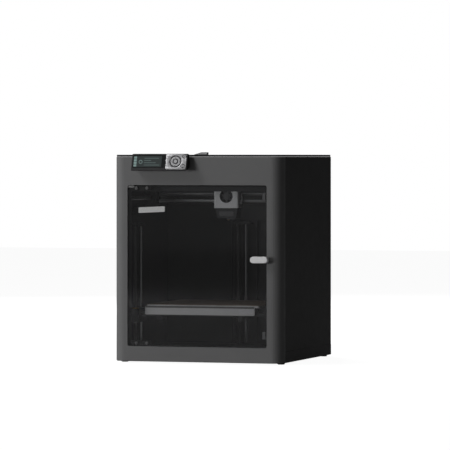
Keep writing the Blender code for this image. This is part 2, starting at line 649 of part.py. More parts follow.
# ---------------------------------------------------------------------------------------------
# Z axis and bed
# ---------------------------------------------------------------------------------------------
def build_z_axis():
    rods = {"left": (-SIDE_ROD[0], SIDE_ROD[1]), "right": SIDE_ROD, "rear": REAR_ROD}
    for name, place in rods.items():
        bm = rod(place, ROD_RADIUS, (BASE_TOP + GAP, ROD_TOP), "Z", SMALL_ROUND_STEPS)
        part("z_rod_" + name, bm, STEEL)
    screws = {"left": (-SIDE_SCREW[0], SIDE_SCREW[1]), "right": SIDE_SCREW, "rear": REAR_SCREW}
    flange = PULLEY_RADIUS + 0.0009
    for name, place in screws.items():
        profile = [(0, 0.0090), (ROD_RADIUS - 0.0005, 0.0090), (flange, PULLEY_LOW),
                   (flange, PULLEY_LOW + 0.0012), (PULLEY_RADIUS, PULLEY_LOW + 0.0012),
                   (PULLEY_RADIUS, PULLEY_HIGH - 0.0012), (flange, PULLEY_HIGH - 0.0012),
                   (flange, PULLEY_HIGH), (ROD_RADIUS, PULLEY_HIGH), (ROD_RADIUS, ROD_TOP), (0, ROD_TOP)]
        bm = turned(profile, place, "Z", SMALL_ROUND_STEPS)
        part("z_screw_" + name, bm, STEEL, (place[0], at_depth(place[1]), 0.0))
    x, depth = Z_MOTOR
    half = 0.018
    bm = prism(rounded((x - half, x + half), (at_depth(depth - half), at_depth(depth + half)),
                       (0.004,) * 4, 3), (BASE_TOP + GAP, 0.064), "Z")
    motor = part("z_motor", bm, DARK_METAL)
    weld(motor, rod(Z_MOTOR, 0.0025, (PULLEY_LOW - 0.0005, BASE_TOP + 0.002), "Z", SMALL_ROUND_STEPS))
    profile = [(0.0028, PULLEY_LOW), (flange, PULLEY_LOW), (flange, PULLEY_LOW + 0.0012),
               (PULLEY_RADIUS, PULLEY_LOW + 0.0012), (PULLEY_RADIUS, PULLEY_HIGH - 0.0012),
               (flange, PULLEY_HIGH - 0.0012), (flange, PULLEY_HIGH), (0.0028, PULLEY_HIGH)]
    part("z_motor_pulley", turned(profile, Z_MOTOR, "Z", SMALL_ROUND_STEPS, True), ALUMINIUM,
         (x, at_depth(depth), 0.0))
    middle = (PULLEY_LOW + PULLEY_HIGH) / 2
    loop = [screws["left"], screws["rear"], Z_MOTOR, screws["right"]]
    part("z_belt", belt_loop(loop, PULLEY_RADIUS + GAP, (middle - 0.003, middle + 0.003)), RUBBER)


def build_bed():
    front_bar, rear_bar = (0.0435, 0.076), (0.245, 0.335)
    outline = [(-0.150, front_bar[0]), (0.150, front_bar[0]), (0.150, front_bar[1]), (0.118, front_bar[1]),
               (0.040, rear_bar[1] - 0.020), (0.020, rear_bar[1]), (-0.020, rear_bar[1]),
               (-0.040, rear_bar[1] - 0.020), (-0.118, front_bar[1]), (-0.150, front_bar[1])]
    outline = [(x, at_depth(depth)) for x, depth in outline]
    window = [(-0.086, front_bar[1] + 0.002), (0.086, front_bar[1] + 0.002), (0.026, rear_bar[0]),
              (-0.026, rear_bar[0])]
    window = [(x, at_depth(depth)) for x, depth in window]
    carriage = part("bed_carriage", prism(outline, (CARRIAGE_LOW, CARRIAGE_HIGH), "Z"), DARK_METAL)
    bushes = [((0.146, 0.168), (0.0300, 0.087)), ((-0.168, -0.146), (0.0300, 0.087)),
              ((-0.020, 0.020), (0.3180, 0.3385))]
    for x, depths in bushes:
        weld(carriage, box(x, depths, (BUSH_LOW, BUSH_HIGH)))
    carve(carriage, prism(window, (CARRIAGE_LOW - 0.002, CARRIAGE_HIGH + 0.002), "Z"))
    for place in ((SIDE_SCREW[0], SIDE_SCREW[1]), (-SIDE_SCREW[0], SIDE_SCREW[1]), SIDE_ROD,
                  (-SIDE_ROD[0], SIDE_ROD[1]), REAR_SCREW, REAR_ROD):
        carve(carriage, rod(place, ROD_RADIUS + BUSH_CLEARANCE, (BUSH_LOW - 0.002, BUSH_HIGH + 0.002), "Z",
                            SMALL_ROUND_STEPS))
    stem = 0.002
    for place in KNOBS.values():
        carve(carriage, rod(place, stem + 0.0005, (CARRIAGE_LOW - 0.002, CARRIAGE_HIGH + 0.002), "Z",
                            SMALL_ROUND_STEPS))

    plate_top = SHEET_TOP - SHEET_THICK - GAP
    plate_low = plate_top - HEATBED_THICK
    half = BED_HALF - 0.003
    bm = prism(rounded((-half, half), (at_depth(BED_FRONT + 0.0015), at_depth(BED_REAR - 0.002)),
                       (0.004,) * 4), (plate_low, plate_top), "Z")
    heatbed = part("heatbed", bm, ALUMINIUM)
    weld(heatbed, prism(rounded((SKIRT_LEFT, SKIRT_RIGHT), (SKIRT_LOW, 0.1250), (0.003,) * 4, 4),
                        (at_depth(BED_FRONT - 0.0005), at_depth(BED_FRONT + 0.0025)), "Y"))
    sheet_outline = rounded((-BED_HALF, BED_HALF), (at_depth(BED_FRONT), at_depth(BED_REAR)), (0.005,) * 4)
    sheet = part("build_sheet", prism(sheet_outline, (SHEET_TOP - SHEET_THICK, SHEET_TOP), "Z"),
                 SPRING_STEEL_SHEET)
    bed = on_empty("bed_lift_axis", (0.0, at_depth(BACK_WALL / 2), SHEET_TOP), carriage, heatbed, sheet)
    for name, place in KNOBS.items():
        knob = build_knob(name, place, stem, plate_low - GAP)
        knob.location = knob.location - Vector(bed.location)
        knob.parent = bed


def build_knob(name, place, stem, stem_top):
    """A thumb nut under the bed carriage, whose stem reaches up to the heatbed."""
    flutes, depth = 12, 0.0006
    top = CARRIAGE_LOW - GAP
    outline = []
    for step in range(flutes * 4):
        angle = 2 * math.pi * step / (flutes * 4)
        radius = KNOB_RADIUS - depth * (1 + math.cos(flutes * angle)) / 2
        outline.append((place[0] + radius * math.cos(angle), at_depth(place[1]) + radius * math.sin(angle)))
    knob = part(f"bed_knob_{name}", prism(outline, (KNOB_LOW, top), "Z"), DARK_METAL,
                (place[0], at_depth(place[1]), KNOB_LOW))
    weld(knob, rod(place, stem, (top - 0.002, stem_top), "Z", SMALL_ROUND_STEPS))
    return knob


# ---------------------------------------------------------------------------------------------
# XY drive, gantry and toolhead
# ---------------------------------------------------------------------------------------------
def build_xy_drive():
    half = XY_MOTOR_SIZE / 2
    for name, side in SIDES.items():
        x, depth = side * XY_MOTOR[0], XY_MOTOR[1]
        bm = prism(rounded((x - half, x + half), (at_depth(depth - half), at_depth(depth + half)),
                           (0.004,) * 4, 3), (0.342, RING_LOW - GAP), "Z")
        motor = part("xy_motor_" + name, bm, DARK_METAL)
        weld(motor, rod((x, depth), 0.0025, (RING_LOW - 0.002, XY_PULLEY_HIGH + 0.002), "Z",
                        SMALL_ROUND_STEPS))
        flange = PULLEY_RADIUS + 0.0009
        low, high = XY_PULLEY_LOW, XY_PULLEY_HIGH
        profile = [(0.0028, low), (flange, low), (flange, low + 0.0012), (PULLEY_RADIUS, low + 0.0012),
                   (PULLEY_RADIUS, high - 0.0012), (flange, high - 0.0012), (flange, high), (0.0028, high)]
        part("xy_pulley_" + name, turned(profile, (x, depth), "Z", SMALL_ROUND_STEPS, True), ALUMINIUM,
             (x, at_depth(depth), 0.0))
        middle = (low + high) / 2
        loop = belt_loop([(x, depth), (x, IDLER_DEPTH)], PULLEY_RADIUS + GAP,
                         (middle - BELT_WIDTH / 2, middle + BELT_WIDTH / 2))
        part("xy_belt_" + name, loop, RUBBER)
        bm = rod((side * Y_ROD[0], Y_ROD[1]), ROD_RADIUS, (POST_FRONT[1] + GAP, BACK_WALL - GAP), "Y",
                 SMALL_ROUND_STEPS)
        part("y_rod_" + name, bm, STEEL)


def build_gantry():
    pieces = []
    for name, side in SIDES.items():
        bm = box(mirrored(side, GANTRY_INNER, GANTRY_OUTER), (GANTRY_DEPTH - 0.016, GANTRY_DEPTH + 0.016),
                 (GANTRY_LOW, GANTRY_HIGH))
        bevelled(bm, EDGE_BEVEL, 2, lambda middle, way: abs(way.y) > 0.9)
        block = part("gantry_block_" + name, bm, DARK_METAL)
        bush = ROD_RADIUS + BUSH_CLEARANCE
        carve(block, rod((side * Y_ROD[0], Y_ROD[1]), bush, (GANTRY_DEPTH - 0.02, GANTRY_DEPTH + 0.02), "Y",
                         SMALL_ROUND_STEPS))
        for height in X_ROD_HEIGHTS.values():
            carve(block, rod((GANTRY_DEPTH, height), bush, mirrored(side, GANTRY_INNER - 0.005, X_ROD_HALF
                                                                    + GAP), "X", SMALL_ROUND_STEPS))
        pieces.append(block)
    for name, height in X_ROD_HEIGHTS.items():
        bm = rod((GANTRY_DEPTH, height), ROD_RADIUS, (-X_ROD_HALF, X_ROD_HALF), "X", SMALL_ROUND_STEPS)
        pieces.append(part("x_rod_" + name, bm, STEEL))
    on_empty("gantry_axis", (0.0, at_depth(GANTRY_DEPTH), Y_ROD[1]), *pieces)


def head_x(low, high):
    return (HEAD_X + low, HEAD_X + high)


def build_carriage():
    """The toolhead's black body: the block on the X rods and the air duct round the hot end."""
    bm = box(head_x(-0.027, 0.027), CARRIER_DEPTHS, CARRIER_HEIGHTS)
    block = part("toolhead_carriage", bm, INNER_BLACK)
    duct_top, duct_low = COVER_LOW - GAP, 0.3175
    profile = [(HEAD_X - 0.026, duct_top + 0.0001), (HEAD_X - 0.022, duct_low), (HEAD_X + 0.022, duct_low),
               (HEAD_X + 0.026, duct_top + 0.0001)]
    duct = prism(profile, (at_depth(0.1750), at_depth(0.2060)), "Y")
    neck = box(head_x(-0.021, 0.021), (CARRIER_DEPTHS[0] + 0.0005, 0.2055), (duct_top - 0.002,
                                                                          CARRIER_HEIGHTS[0] + 0.002))
    weld(block, duct, neck)
    carve(block, box(head_x(-0.0130, 0.0130), (0.1785, 0.2015), (0.310, CARRIER_HEIGHTS[0])))
    for height in X_ROD_HEIGHTS.values():
        carve(block, rod((GANTRY_DEPTH, height), ROD_RADIUS + BUSH_CLEARANCE, head_x(-0.04, 0.04), "X",
                         SMALL_ROUND_STEPS))
    return block


def build_cover():
    """The toolhead's grey cover: a shell that is open at the back, with a round fan opening."""
    bm = prism(rounded(head_x(-HEAD_HALF, HEAD_HALF), (at_depth(COVER_FRONT), at_depth(COVER_BACK)),
                       (0.005, 0.005, 0, 0)), (COVER_LOW, COVER_HIGH), "Z")
    cover = part("toolhead_cover", bm, HEAD_GREY)
    inner = HEAD_HALF - COVER_WALL
    inner_depth = (at_depth(COVER_FRONT + 0.0025), at_depth(COVER_BACK + 0.01))
    cavity = prism(rounded(head_x(-inner, inner), inner_depth, (0.0035, 0.0035, 0, 0)),
                   (COVER_LOW + COVER_WALL, COVER_HIGH - COVER_WALL), "Z")
    fan_opening = rod((HEAD_X, HEAD_FAN_HEIGHT), 0.0143, (COVER_FRONT - 0.005, COVER_FRONT + 0.006), "Y")
    hotend_notch = box(head_x(-0.0112, 0.0112), (0.1785, COVER_BACK + 0.002), (COVER_LOW - 0.002,
                                                                             COVER_LOW + COVER_WALL + 0.002))
    carve(cover, cavity, fan_opening, hotend_notch)
    return cover


def build_hotend():
    """Heat sink, heater block and nozzle, turned about the nozzle's axis."""
    top = CARRIER_HEIGHTS[0] - GAP
    profile = [(0, top), (0.0060, top)]
    for fin in range(3):
        height = top - 0.0030 - fin * 0.0056
        profile += [(0.0060, height), (0.0098, height), (0.0098, height - 0.0022), (0.0060, height - 0.0022)]
    profile += [(0.0035, 0.3262), (0.0035, 0.3240), (0.0090, 0.3240), (0.0090, 0.3168), (0.0038, 0.3168),
                (0.0034, 0.3142), (0.0007, NOZZLE_TIP), (0, NOZZLE_TIP)]
    return part("hotend", turned(profile, (HEAD_X, NOZZLE_DEPTH), "Z", SMALL_ROUND_STEPS), BRASS)


def build_extruder_motor():
    bm = rod((HEAD_X, EXTRUDER_HEIGHT), EXTRUDER_RADIUS, (CARRIER_DEPTHS[0] + 0.0005, 0.2100), "Y")
    bevelled(bm, 0.0010, 2, lambda middle, way: abs(way.y) < 0.5)
    return part("extruder_motor", bm, DARK_METAL)


def build_cutter_lever():
    """A sprung lever on the toolhead's side, which turns about a level pin at its foot."""
    near, arm = HEAD_HALF + 0.0012, (0.0340, 0.0365)
    outline = [(near, 0.3490), (arm[1], 0.3490), (arm[1], 0.3720), (arm[0], 0.3740), (arm[0], 0.3560),
               (near, 0.3560)]
    outline = [(HEAD_X + x, z) for x, z in outline]
    bm = prism(outline, (at_depth(0.1765), at_depth(0.1855)), "Y")
    pin = (HEAD_X + 0.0345, at_depth(0.181), 0.3520)
    return part("cutter_lever", bm, HEAD_GREY, pin)


def build_filament_tube():
    """The guide tube from the top of the extruder, under the lid, to the rear beam."""
    top = EXTRUDER_HEIGHT + EXTRUDER_RADIUS + GAP
    route = [(HEAD_X, 0.2003, top), (HEAD_X, 0.2003, 0.430), (0.0120, 0.2150, 0.4405),
             (0.0060, 0.2450, 0.4455), (-0.0060, 0.2800, 0.4470), (-0.0190, 0.3150, 0.4460),
             (-0.0280, 0.3450, 0.4400), (-0.0300, 0.3640, 0.4320), (-0.0300, RING_REAR_BEAM - GAP, 0.4290)]
    control = [Vector((x, at_depth(depth), z)) for x, depth, z in route]
    points = smooth_path(control, 5)
    curve = bpy.data.curves.new("filament_tube", "CURVE")
    curve.dimensions = "3D"
    curve.bevel_depth = 0.002
    curve.bevel_resolution = 2
    curve.use_fill_caps = True
    spline = curve.splines.new("POLY")
    spline.points.add(len(points) - 1)
    for target, point in zip(spline.points, points):
        target.co = (*point, 1.0)
    tube = bpy.data.objects.new("filament_tube", curve)
    curve.materials.append(material("filament_tube_material", TUBE_WHITE))
    bpy.context.collection.objects.link(tube)
    return tube


def smooth_path(control, steps):
    """Points of a smooth curve through the control points, steps to each span."""
    points = []
    last = len(control) - 1
    for i in range(last):
        before, start = control[max(i - 1, 0)], control[i]
        end, after = control[i + 1], control[min(i + 2, last)]
        for step in range(steps):
            t = step / steps
            points.append(0.5 * ((2 * start) + (end - before) * t
                                 + (2 * before - 5 * start + 4 * end - after) * t ** 2
                                 + (3 * start - before - 3 * end + after) * t ** 3))
    points.append(control[-1])
    return points


def build_toolhead():
    rotor = fan_rotor("toolhead_fan_rotor", (HEAD_X, HEAD_FAN_HEIGHT), 0.0136, 0.0085, (0.1756, 0.1850), 7,
                      INNER_BLACK)
    on_empty("toolhead_axis", (HEAD_X, at_depth(GANTRY_DEPTH), Y_ROD[1]), build_carriage(), build_cover(),
             rotor, build_hotend(), build_extruder_motor(), build_cutter_lever(), build_filament_tube())


# ---------------------------------------------------------------------------------------------
# Rear bay
# ---------------------------------------------------------------------------------------------
def build_power_supply():
    bm = box((-0.165, -0.045), (BACK_WALL + BACK_WALL_THICK + 0.001, 0.3840), (BASE_TOP + GAP, 0.146))
    bevelled(bm, EDGE_BEVEL, 2, lambda middle, way: abs(way.z) > 0.9)
    part("power_supply", bm, ALUMINIUM)


def build_inlet():
    """A three-pin mains inlet, set in the rear panel with its mouth to the rear."""
    x_low, x_high, z_low, z_high = INLET
    inlet = part("power_inlet", box((x_low, x_high), (0.3700, DEPTH - 0.0004), (z_low, z_high)), INNER_BLACK)
    wall = 0.0022
    mouth_outline = rounded((x_low + wall, x_high - wall), (z_low + wall, z_high - wall),
                            (0.0008, 0.0008, 0.004, 0.004), 3)
    mouth = prism(mouth_outline, (at_depth(0.3730), at_depth(DEPTH + 0.002)), "Y")
    carve(inlet, mouth)
    middle = (x_low + x_high) / 2
    for x, z in ((-0.0070, 0.0085), (0.0, 0.0125), (0.0070, 0.0085)):
        blade = box((middle + x - 0.001, middle + x + 0.001), (0.3715, 0.3850),
                    (z_low + z - 0.002, z_low + z + 0.002))
        weld(inlet, blade)


def build_switch():
    """A rocker switch above its level pin. It rests with its upper half out."""
    x_low, x_high, z_low, z_high = SWITCH
    pin_depth, pin_height = 0.3810, (z_low + z_high) / 2
    half = (z_high - z_low) / 2 - 0.0008
    profile = [(-0.0030, -0.005), (-0.0030, 0.005), (0.0058, half), (0.0045, 0.0), (0.0058, -half)]
    tilt = math.radians(7)
    outline = []
    for out, up in profile:
        depth = pin_depth + out * math.cos(tilt) + up * math.sin(tilt)
        height = pin_height - out * math.sin(tilt) + up * math.cos(tilt)
        outline.append((at_depth(depth), height))
    bm = prism(outline, (x_low + 0.0002, x_high - 0.0002), "X")
    part("power_switch", bm, INNER_BLACK, ((x_low + x_high) / 2, at_depth(pin_depth), pin_height))


def build_exhaust_fan():
    fan_rotor("exhaust_fan_rotor", (FAN_X, FAN_HEIGHT), FAN_RADIUS - 0.0015, 0.0150, (0.3580, 0.3765), 7,
              INNER_BLACK)


def main():
    clear_scene()
    build_front_frame()
    build_panels()
    build_base()
    build_feet()
    build_rear_panel()
    build_main_frame()
    build_back_wall()
    build_door()
    build_lid()
    build_display()
    build_z_axis()
    build_bed()
    build_xy_drive()
    build_gantry()
    build_toolhead()
    build_power_supply()
    build_inlet()
    build_switch()
    build_exhaust_fan()
    settle_booleans()


main()
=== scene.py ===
"""Looks of the enclosed FDM printer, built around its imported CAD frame.

Metres, +Z up, -Y is the front. Depths are measured backwards from the front face: see at_depth().
"""
import json
import math

import bmesh
import bpy
from mathutils import Matrix, Vector


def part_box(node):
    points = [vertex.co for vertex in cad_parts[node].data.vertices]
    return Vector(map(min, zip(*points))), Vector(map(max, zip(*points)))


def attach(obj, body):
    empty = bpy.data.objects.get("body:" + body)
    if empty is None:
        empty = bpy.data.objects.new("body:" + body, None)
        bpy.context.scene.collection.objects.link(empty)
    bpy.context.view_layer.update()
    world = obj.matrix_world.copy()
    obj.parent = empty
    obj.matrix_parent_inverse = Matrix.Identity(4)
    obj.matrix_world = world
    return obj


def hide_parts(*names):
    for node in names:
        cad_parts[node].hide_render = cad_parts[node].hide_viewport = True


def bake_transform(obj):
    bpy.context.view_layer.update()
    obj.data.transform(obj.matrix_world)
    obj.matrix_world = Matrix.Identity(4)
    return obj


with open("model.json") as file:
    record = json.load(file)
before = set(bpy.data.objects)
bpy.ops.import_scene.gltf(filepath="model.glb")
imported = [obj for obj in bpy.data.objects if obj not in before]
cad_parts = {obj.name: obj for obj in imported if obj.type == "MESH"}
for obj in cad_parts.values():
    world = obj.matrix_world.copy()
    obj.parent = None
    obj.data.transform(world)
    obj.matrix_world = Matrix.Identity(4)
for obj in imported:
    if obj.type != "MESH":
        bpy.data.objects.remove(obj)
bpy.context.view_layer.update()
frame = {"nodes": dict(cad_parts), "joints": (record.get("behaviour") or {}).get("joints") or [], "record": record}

# ---- Places and measures ---------------------------------
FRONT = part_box("front_frame")[0].y
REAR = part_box("rear_panel")[1].y
# clearances, from a fit down to faces that all but touch
GAP, HAIR, CLOSE = 0.0003, 0.0001, 0.00005
ROUND_STEPS = 40
SMALL_STEPS = 20
SMOOTH_ANGLE = math.radians(35)
SIDES = (-1, 1)
Z_PLACES = ("left", "right", "rear")
TUBE_EXIT, CABLE_EXIT = (-0.0300, 0.4290), (-0.0430, 0.4210)
TUBE_DEPTH = 0.2003


def at_depth(depth):
    """The Y of a point that lies depth metres behind the front face."""
    return FRONT + depth


def at_depths(near, far):
    return FRONT + near, FRONT + far


def span_at(base, low, high):
    """The span from low to high, both measured from a base."""
    return base + low, base + high


def around(centre, reach):
    return centre - reach, centre + reach


def skin(face, thick):
    """The Y span of a thin layer laid on a face that looks to the front."""
    return face - thick, face - CLOSE


def middle_of(node_name):
    low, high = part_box(node_name)
    return (low + high) / 2


def plan_centre(node_name):
    middle = middle_of(node_name)
    return middle.x, middle.y


# ---- Material helpers ------------------------------------
def feed(tree, target, *ordered, **named):
    """Set inputs by order, or by name with _ for a space. A socket given as a value is linked."""
    pairs = list(zip(target.inputs, ordered))
    pairs += [(target.inputs[key.replace("_", " ")], value) for key, value in named.items()]
    for socket, value in pairs:
        if isinstance(value, bpy.types.NodeSocket):
            tree.links.new(value, socket)
        else:
            socket.default_value = value
    return target


def node(tree, kind, settings=None, *ordered, **named):
    """A shader node with its settings and its inputs: see feed()."""
    made = tree.nodes.new("ShaderNode" + kind)
    for key, value in (settings or {}).items():
        setattr(made, key, value)
    return feed(tree, made, *ordered, **named)


def noise(tree, coords, scale, detail=2.0, rough=0.5):
    made = node(tree, "TexNoise", Vector=coords, Scale=scale, Detail=detail, Roughness=rough)
    return made.outputs["Fac"]


def spread(tree, value, low, high, start=0.3, end=0.7):
    """The value's range from start to end, mapped to low..high."""
    made = node(tree, "MapRange", Value=value, From_Min=start, From_Max=end, To_Min=low,
                To_Max=high)
    return made.outputs["Result"]


def bumped(tree, height, distance, strength):
    made = node(tree, "Bump", Height=height, Distance=distance, Strength=strength)
    return made.outputs["Normal"]


def blend_colours(tree, share, first, second):
    made = node(tree, "Mix", {"data_type": "RGBA"}, Factor=share)
    colour_sockets = [socket for socket in made.inputs if socket.type == "RGBA"]
    for socket, colour in zip(colour_sockets, (first, second)):
        if isinstance(colour, bpy.types.NodeSocket):
            tree.links.new(colour, socket)
        else:
            socket.default_value = (*colour, 1.0)
    return next(socket for socket in made.outputs if socket.type == "RGBA")


def show_mix(tree, output, share, first, second):
    """Send a mix of two shaders to the tree's output node."""
    mix = node(tree, "MixShader", None, share, first, second)
    feed(tree, tree.nodes[output], Surface=mix.outputs["Shader"])


def shade(colour, factor):
    return tuple(min(1.0, channel * factor) for channel in colour)


def new_material(name):
    """A node material with its shader and the piece's own coordinates."""
    material = bpy.data.materials.new(name)
    material.use_nodes = True
    tree = material.node_tree
    coords = node(tree, "TexCoord").outputs["Object"]
    return material, tree, tree.nodes["Principled BSDF"], coords


def moulded(name, colour, roughness, metallic=0.0, specular=0.5, mottle=0.08, grain=1600.0,
            relief=0.00002, streaks=None, uneven=0.06, edge=0.0):
    """A solid finish: mottled colour, uneven gloss, fine grain, and streaks or worn edges."""
    material, tree, shader, coords = new_material(name)
    cloud = noise(tree, coords, 14.0, 3.0)
    height = noise(tree, coords, grain, 2.0, 0.6)
    tint = blend_colours(tree, spread(tree, cloud, 0.0, 1.0), shade(colour, 1 - mottle),
                         shade(colour, 1 + mottle))
    tint = blend_colours(tree, spread(tree, height, 0.0, 0.35), tint,
                         shade(colour, 1 + 2.5 * mottle))
    if streaks:
        mapped = node(tree, "Mapping", Vector=coords, Scale=streaks).outputs["Vector"]
        height, relief = noise(tree, mapped, 1.0, 3.0, 0.7), STREAK_DEPTH
        tint = blend_colours(tree, spread(tree, height, 0.0, 0.5), tint, shade(colour, 0.78))
    if edge:
        soft = node(tree, "Bevel", {"samples": 4}, Radius=0.0009).outputs["Normal"]
        flat = node(tree, "NewGeometry").outputs["Normal"]
        match = node(tree, "VectorMath", {"operation": "DOT_PRODUCT"}, soft, flat)
        worn = spread(tree, match.outputs["Value"], 0.0, edge, 0.99, 0.85)
        tint = blend_colours(tree, worn, tint, shade(colour, 1.9))
    gloss = spread(tree, noise(tree, coords, 45.0, 4.0), roughness - uneven, roughness + uneven)
    feed(tree, shader, Base_Color=tint, Roughness=gloss, Metallic=metallic,
         Specular_IOR_Level=specular, Normal=bumped(tree, height, relief, 0.6))
    return material


def tinted_glass(name, colour, ior=1.5):
    """Clear sheet: a tint that light passes once for each face, under a mirror-like skin."""
    material, tree, shader, coords = new_material(name)
    smear = spread(tree, noise(tree, coords, 9.0, 5.0, 0.65), 0.03, 0.07)
    feed(tree, shader, Base_Color=(0.92, 0.92, 0.93, 1.0), Metallic=1.0, Roughness=smear)
    through = node(tree, "BsdfTransparent", Color=(*colour, 1.0)).outputs["BSDF"]
    # The ray goes straight on through the sheet, so the index is turned over on a back face:
    # without that the inner side of a face would be a full mirror at a slant.
    back = node(tree, "NewGeometry").outputs["Backfacing"]
    index = spread(tree, back, ior, 1 / ior, 0.0, 1.0)
    skin_share = node(tree, "Fresnel", IOR=index).outputs["Fac"]
    show_mix(tree, "Material Output", skin_share, through, shader.outputs["BSDF"])
    return material


def glowing(name, colour, strength, roughness=0.3):
    """A lit surface whose light is a little uneven."""
    material, tree, shader, coords = new_material(name)
    uneven = spread(tree, noise(tree, coords, 160.0, 2.0), 0.85, 1.15)
    tint = blend_colours(tree, uneven, shade(colour, 0.8), colour)
    feed(tree, shader, Base_Color=tint, Emission_Color=tint, Emission_Strength=strength,
         Roughness=roughness)
    return material


def build_sheet_finish():
    """Textured bronze powder coat, with the sparkle of its coarse grain."""
    material, tree, shader, coords = new_material("build_sheet_finish")
    grit = noise(tree, coords, 900.0, 3.0, 0.7)
    patch = noise(tree, coords, 22.0, 4.0)
    tint = blend_colours(tree, spread(tree, grit, 0.0, 1.0), (0.060, 0.042, 0.028),
                         (0.135, 0.096, 0.062))
    tint = blend_colours(tree, spread(tree, patch, 0.0, 0.3), tint, (0.080, 0.060, 0.044))
    feed(tree, shader, Base_Color=tint, Roughness=spread(tree, grit, 0.45, 0.75), Metallic=0.25,
         Normal=bumped(tree, grit, 0.00008, 0.8))
    return material


def braid_finish():
    """Woven nylon sleeve."""
    material, tree, shader, coords = new_material("braided_sleeve")
    turned = node(tree, "Mapping", Vector=coords, Rotation=(0.6, 0.0, 0.8)).outputs["Vector"]
    waves = [node(tree, "TexWave", {"bands_direction": direction}, Vector=turned, Scale=420.0,
                  Distortion=0.6, Detail=1.0).outputs["Fac"] for direction in ("X", "Z")]
    weave = node(tree, "Math", {"operation": "MULTIPLY"}, *waves).outputs["Value"]
    tint = blend_colours(tree, weave, (0.010, 0.010, 0.011), (0.05, 0.05, 0.052))
    feed(tree, shader, Base_Color=tint, Roughness=0.8, Normal=bumped(tree, weave, 0.0003, 0.9))
    return material


def tube_finish():
    """Milky fluoropolymer tube, a little see-through."""
    material, tree, shader, coords = new_material("guide_tube_finish")
    milk = noise(tree, coords, 70.0, 3.0)
    tint = blend_colours(tree, spread(tree, milk, 0.0, 1.0), (0.66, 0.66, 0.63),
                         (0.80, 0.80, 0.78))
    feed(tree, shader, Base_Color=tint, Roughness=spread(tree, milk, 0.28, 0.42),
         Subsurface_Weight=0.25, Subsurface_Radius=(0.002, 0.002, 0.002))
    return material


def circuit_finish():
    """Black solder mask with copper runs under it."""
    material, tree, shader, coords = new_material("circuit_board")
    runs = node(tree, "TexBrick", Vector=coords, Scale=190.0, Mortar_Size=0.03).outputs["Fac"]
    tint = blend_colours(tree, runs, (0.008, 0.020, 0.014), (0.022, 0.060, 0.040))
    feed(tree, shader, Base_Color=tint, Roughness=0.35, Normal=bumped(tree, runs, 0.00003, 0.5))
    return material


# ---- Finishes: one for each slot, then those of single pieces
STREAK, LONG = 2600.0, 18.0
STREAK_DEPTH = 0.000004
FINISHES = {
    "frame_grey": moulded("frame_grey_plastic", (0.092, 0.092, 0.093), 0.62, specular=0.35,
                          mottle=0.035),
    "shell_black": moulded("shell_black_plastic", (0.0420, 0.0420, 0.0428), 0.60, specular=0.16,
                           mottle=0.04, relief=0.000004, uneven=0.02),
    "inner_black": moulded("inner_black_plastic", (0.026, 0.026, 0.027), 0.70, specular=0.30,
                           mottle=0.06),
    "main_frame_metal": moulded("black_powder_coat", (0.018, 0.018, 0.019), 0.55, specular=0.45,
                                grain=900.0, relief=0.00005, edge=0.5),
    "smoked_glass": tinted_glass("smoked_door_glass", (0.885, 0.887, 0.89)),
    "lid_glass": tinted_glass("clear_lid_glass", (0.82, 0.828, 0.828)),
    "light_grey": moulded("light_grey_plastic", (0.50, 0.50, 0.504), 0.42, mottle=0.03),
    "silver": moulded("silver_paint", (0.40, 0.40, 0.41), 0.38, metallic=0.45, mottle=0.04,
                      grain=2600.0, relief=0.000005),
    "steel": moulded("ground_steel", (0.38, 0.38, 0.39), 0.30, metallic=1.0, mottle=0.03,
                     relief=0.000001, uneven=0.03),
    "motor_black": moulded("motor_lacquer", (0.014, 0.014, 0.015), 0.38, metallic=0.2, edge=0.4),
    "aluminium": moulded("satin_aluminium", (0.46, 0.46, 0.47), 0.36, metallic=1.0,
                         streaks=(STREAK, STREAK, LONG)),
    "bed_aluminium": moulded("milled_aluminium", (0.38, 0.38, 0.38), 0.45, metallic=0.3,
                             streaks=(LONG, STREAK, STREAK)),
    "build_sheet": build_sheet_finish(),
    "brass": moulded("turned_brass", (0.62, 0.42, 0.16), 0.30, metallic=1.0,
                     streaks=(LONG, LONG, STREAK)),
    "head_grey": moulded("head_grey_plastic", (0.33, 0.33, 0.334), 0.45, mottle=0.04),
    "rubber": moulded("black_rubber", (0.012, 0.012, 0.012), 0.85, specular=0.25, grain=700.0,
                      relief=0.00008),
    "tube_white": tube_finish(),
}
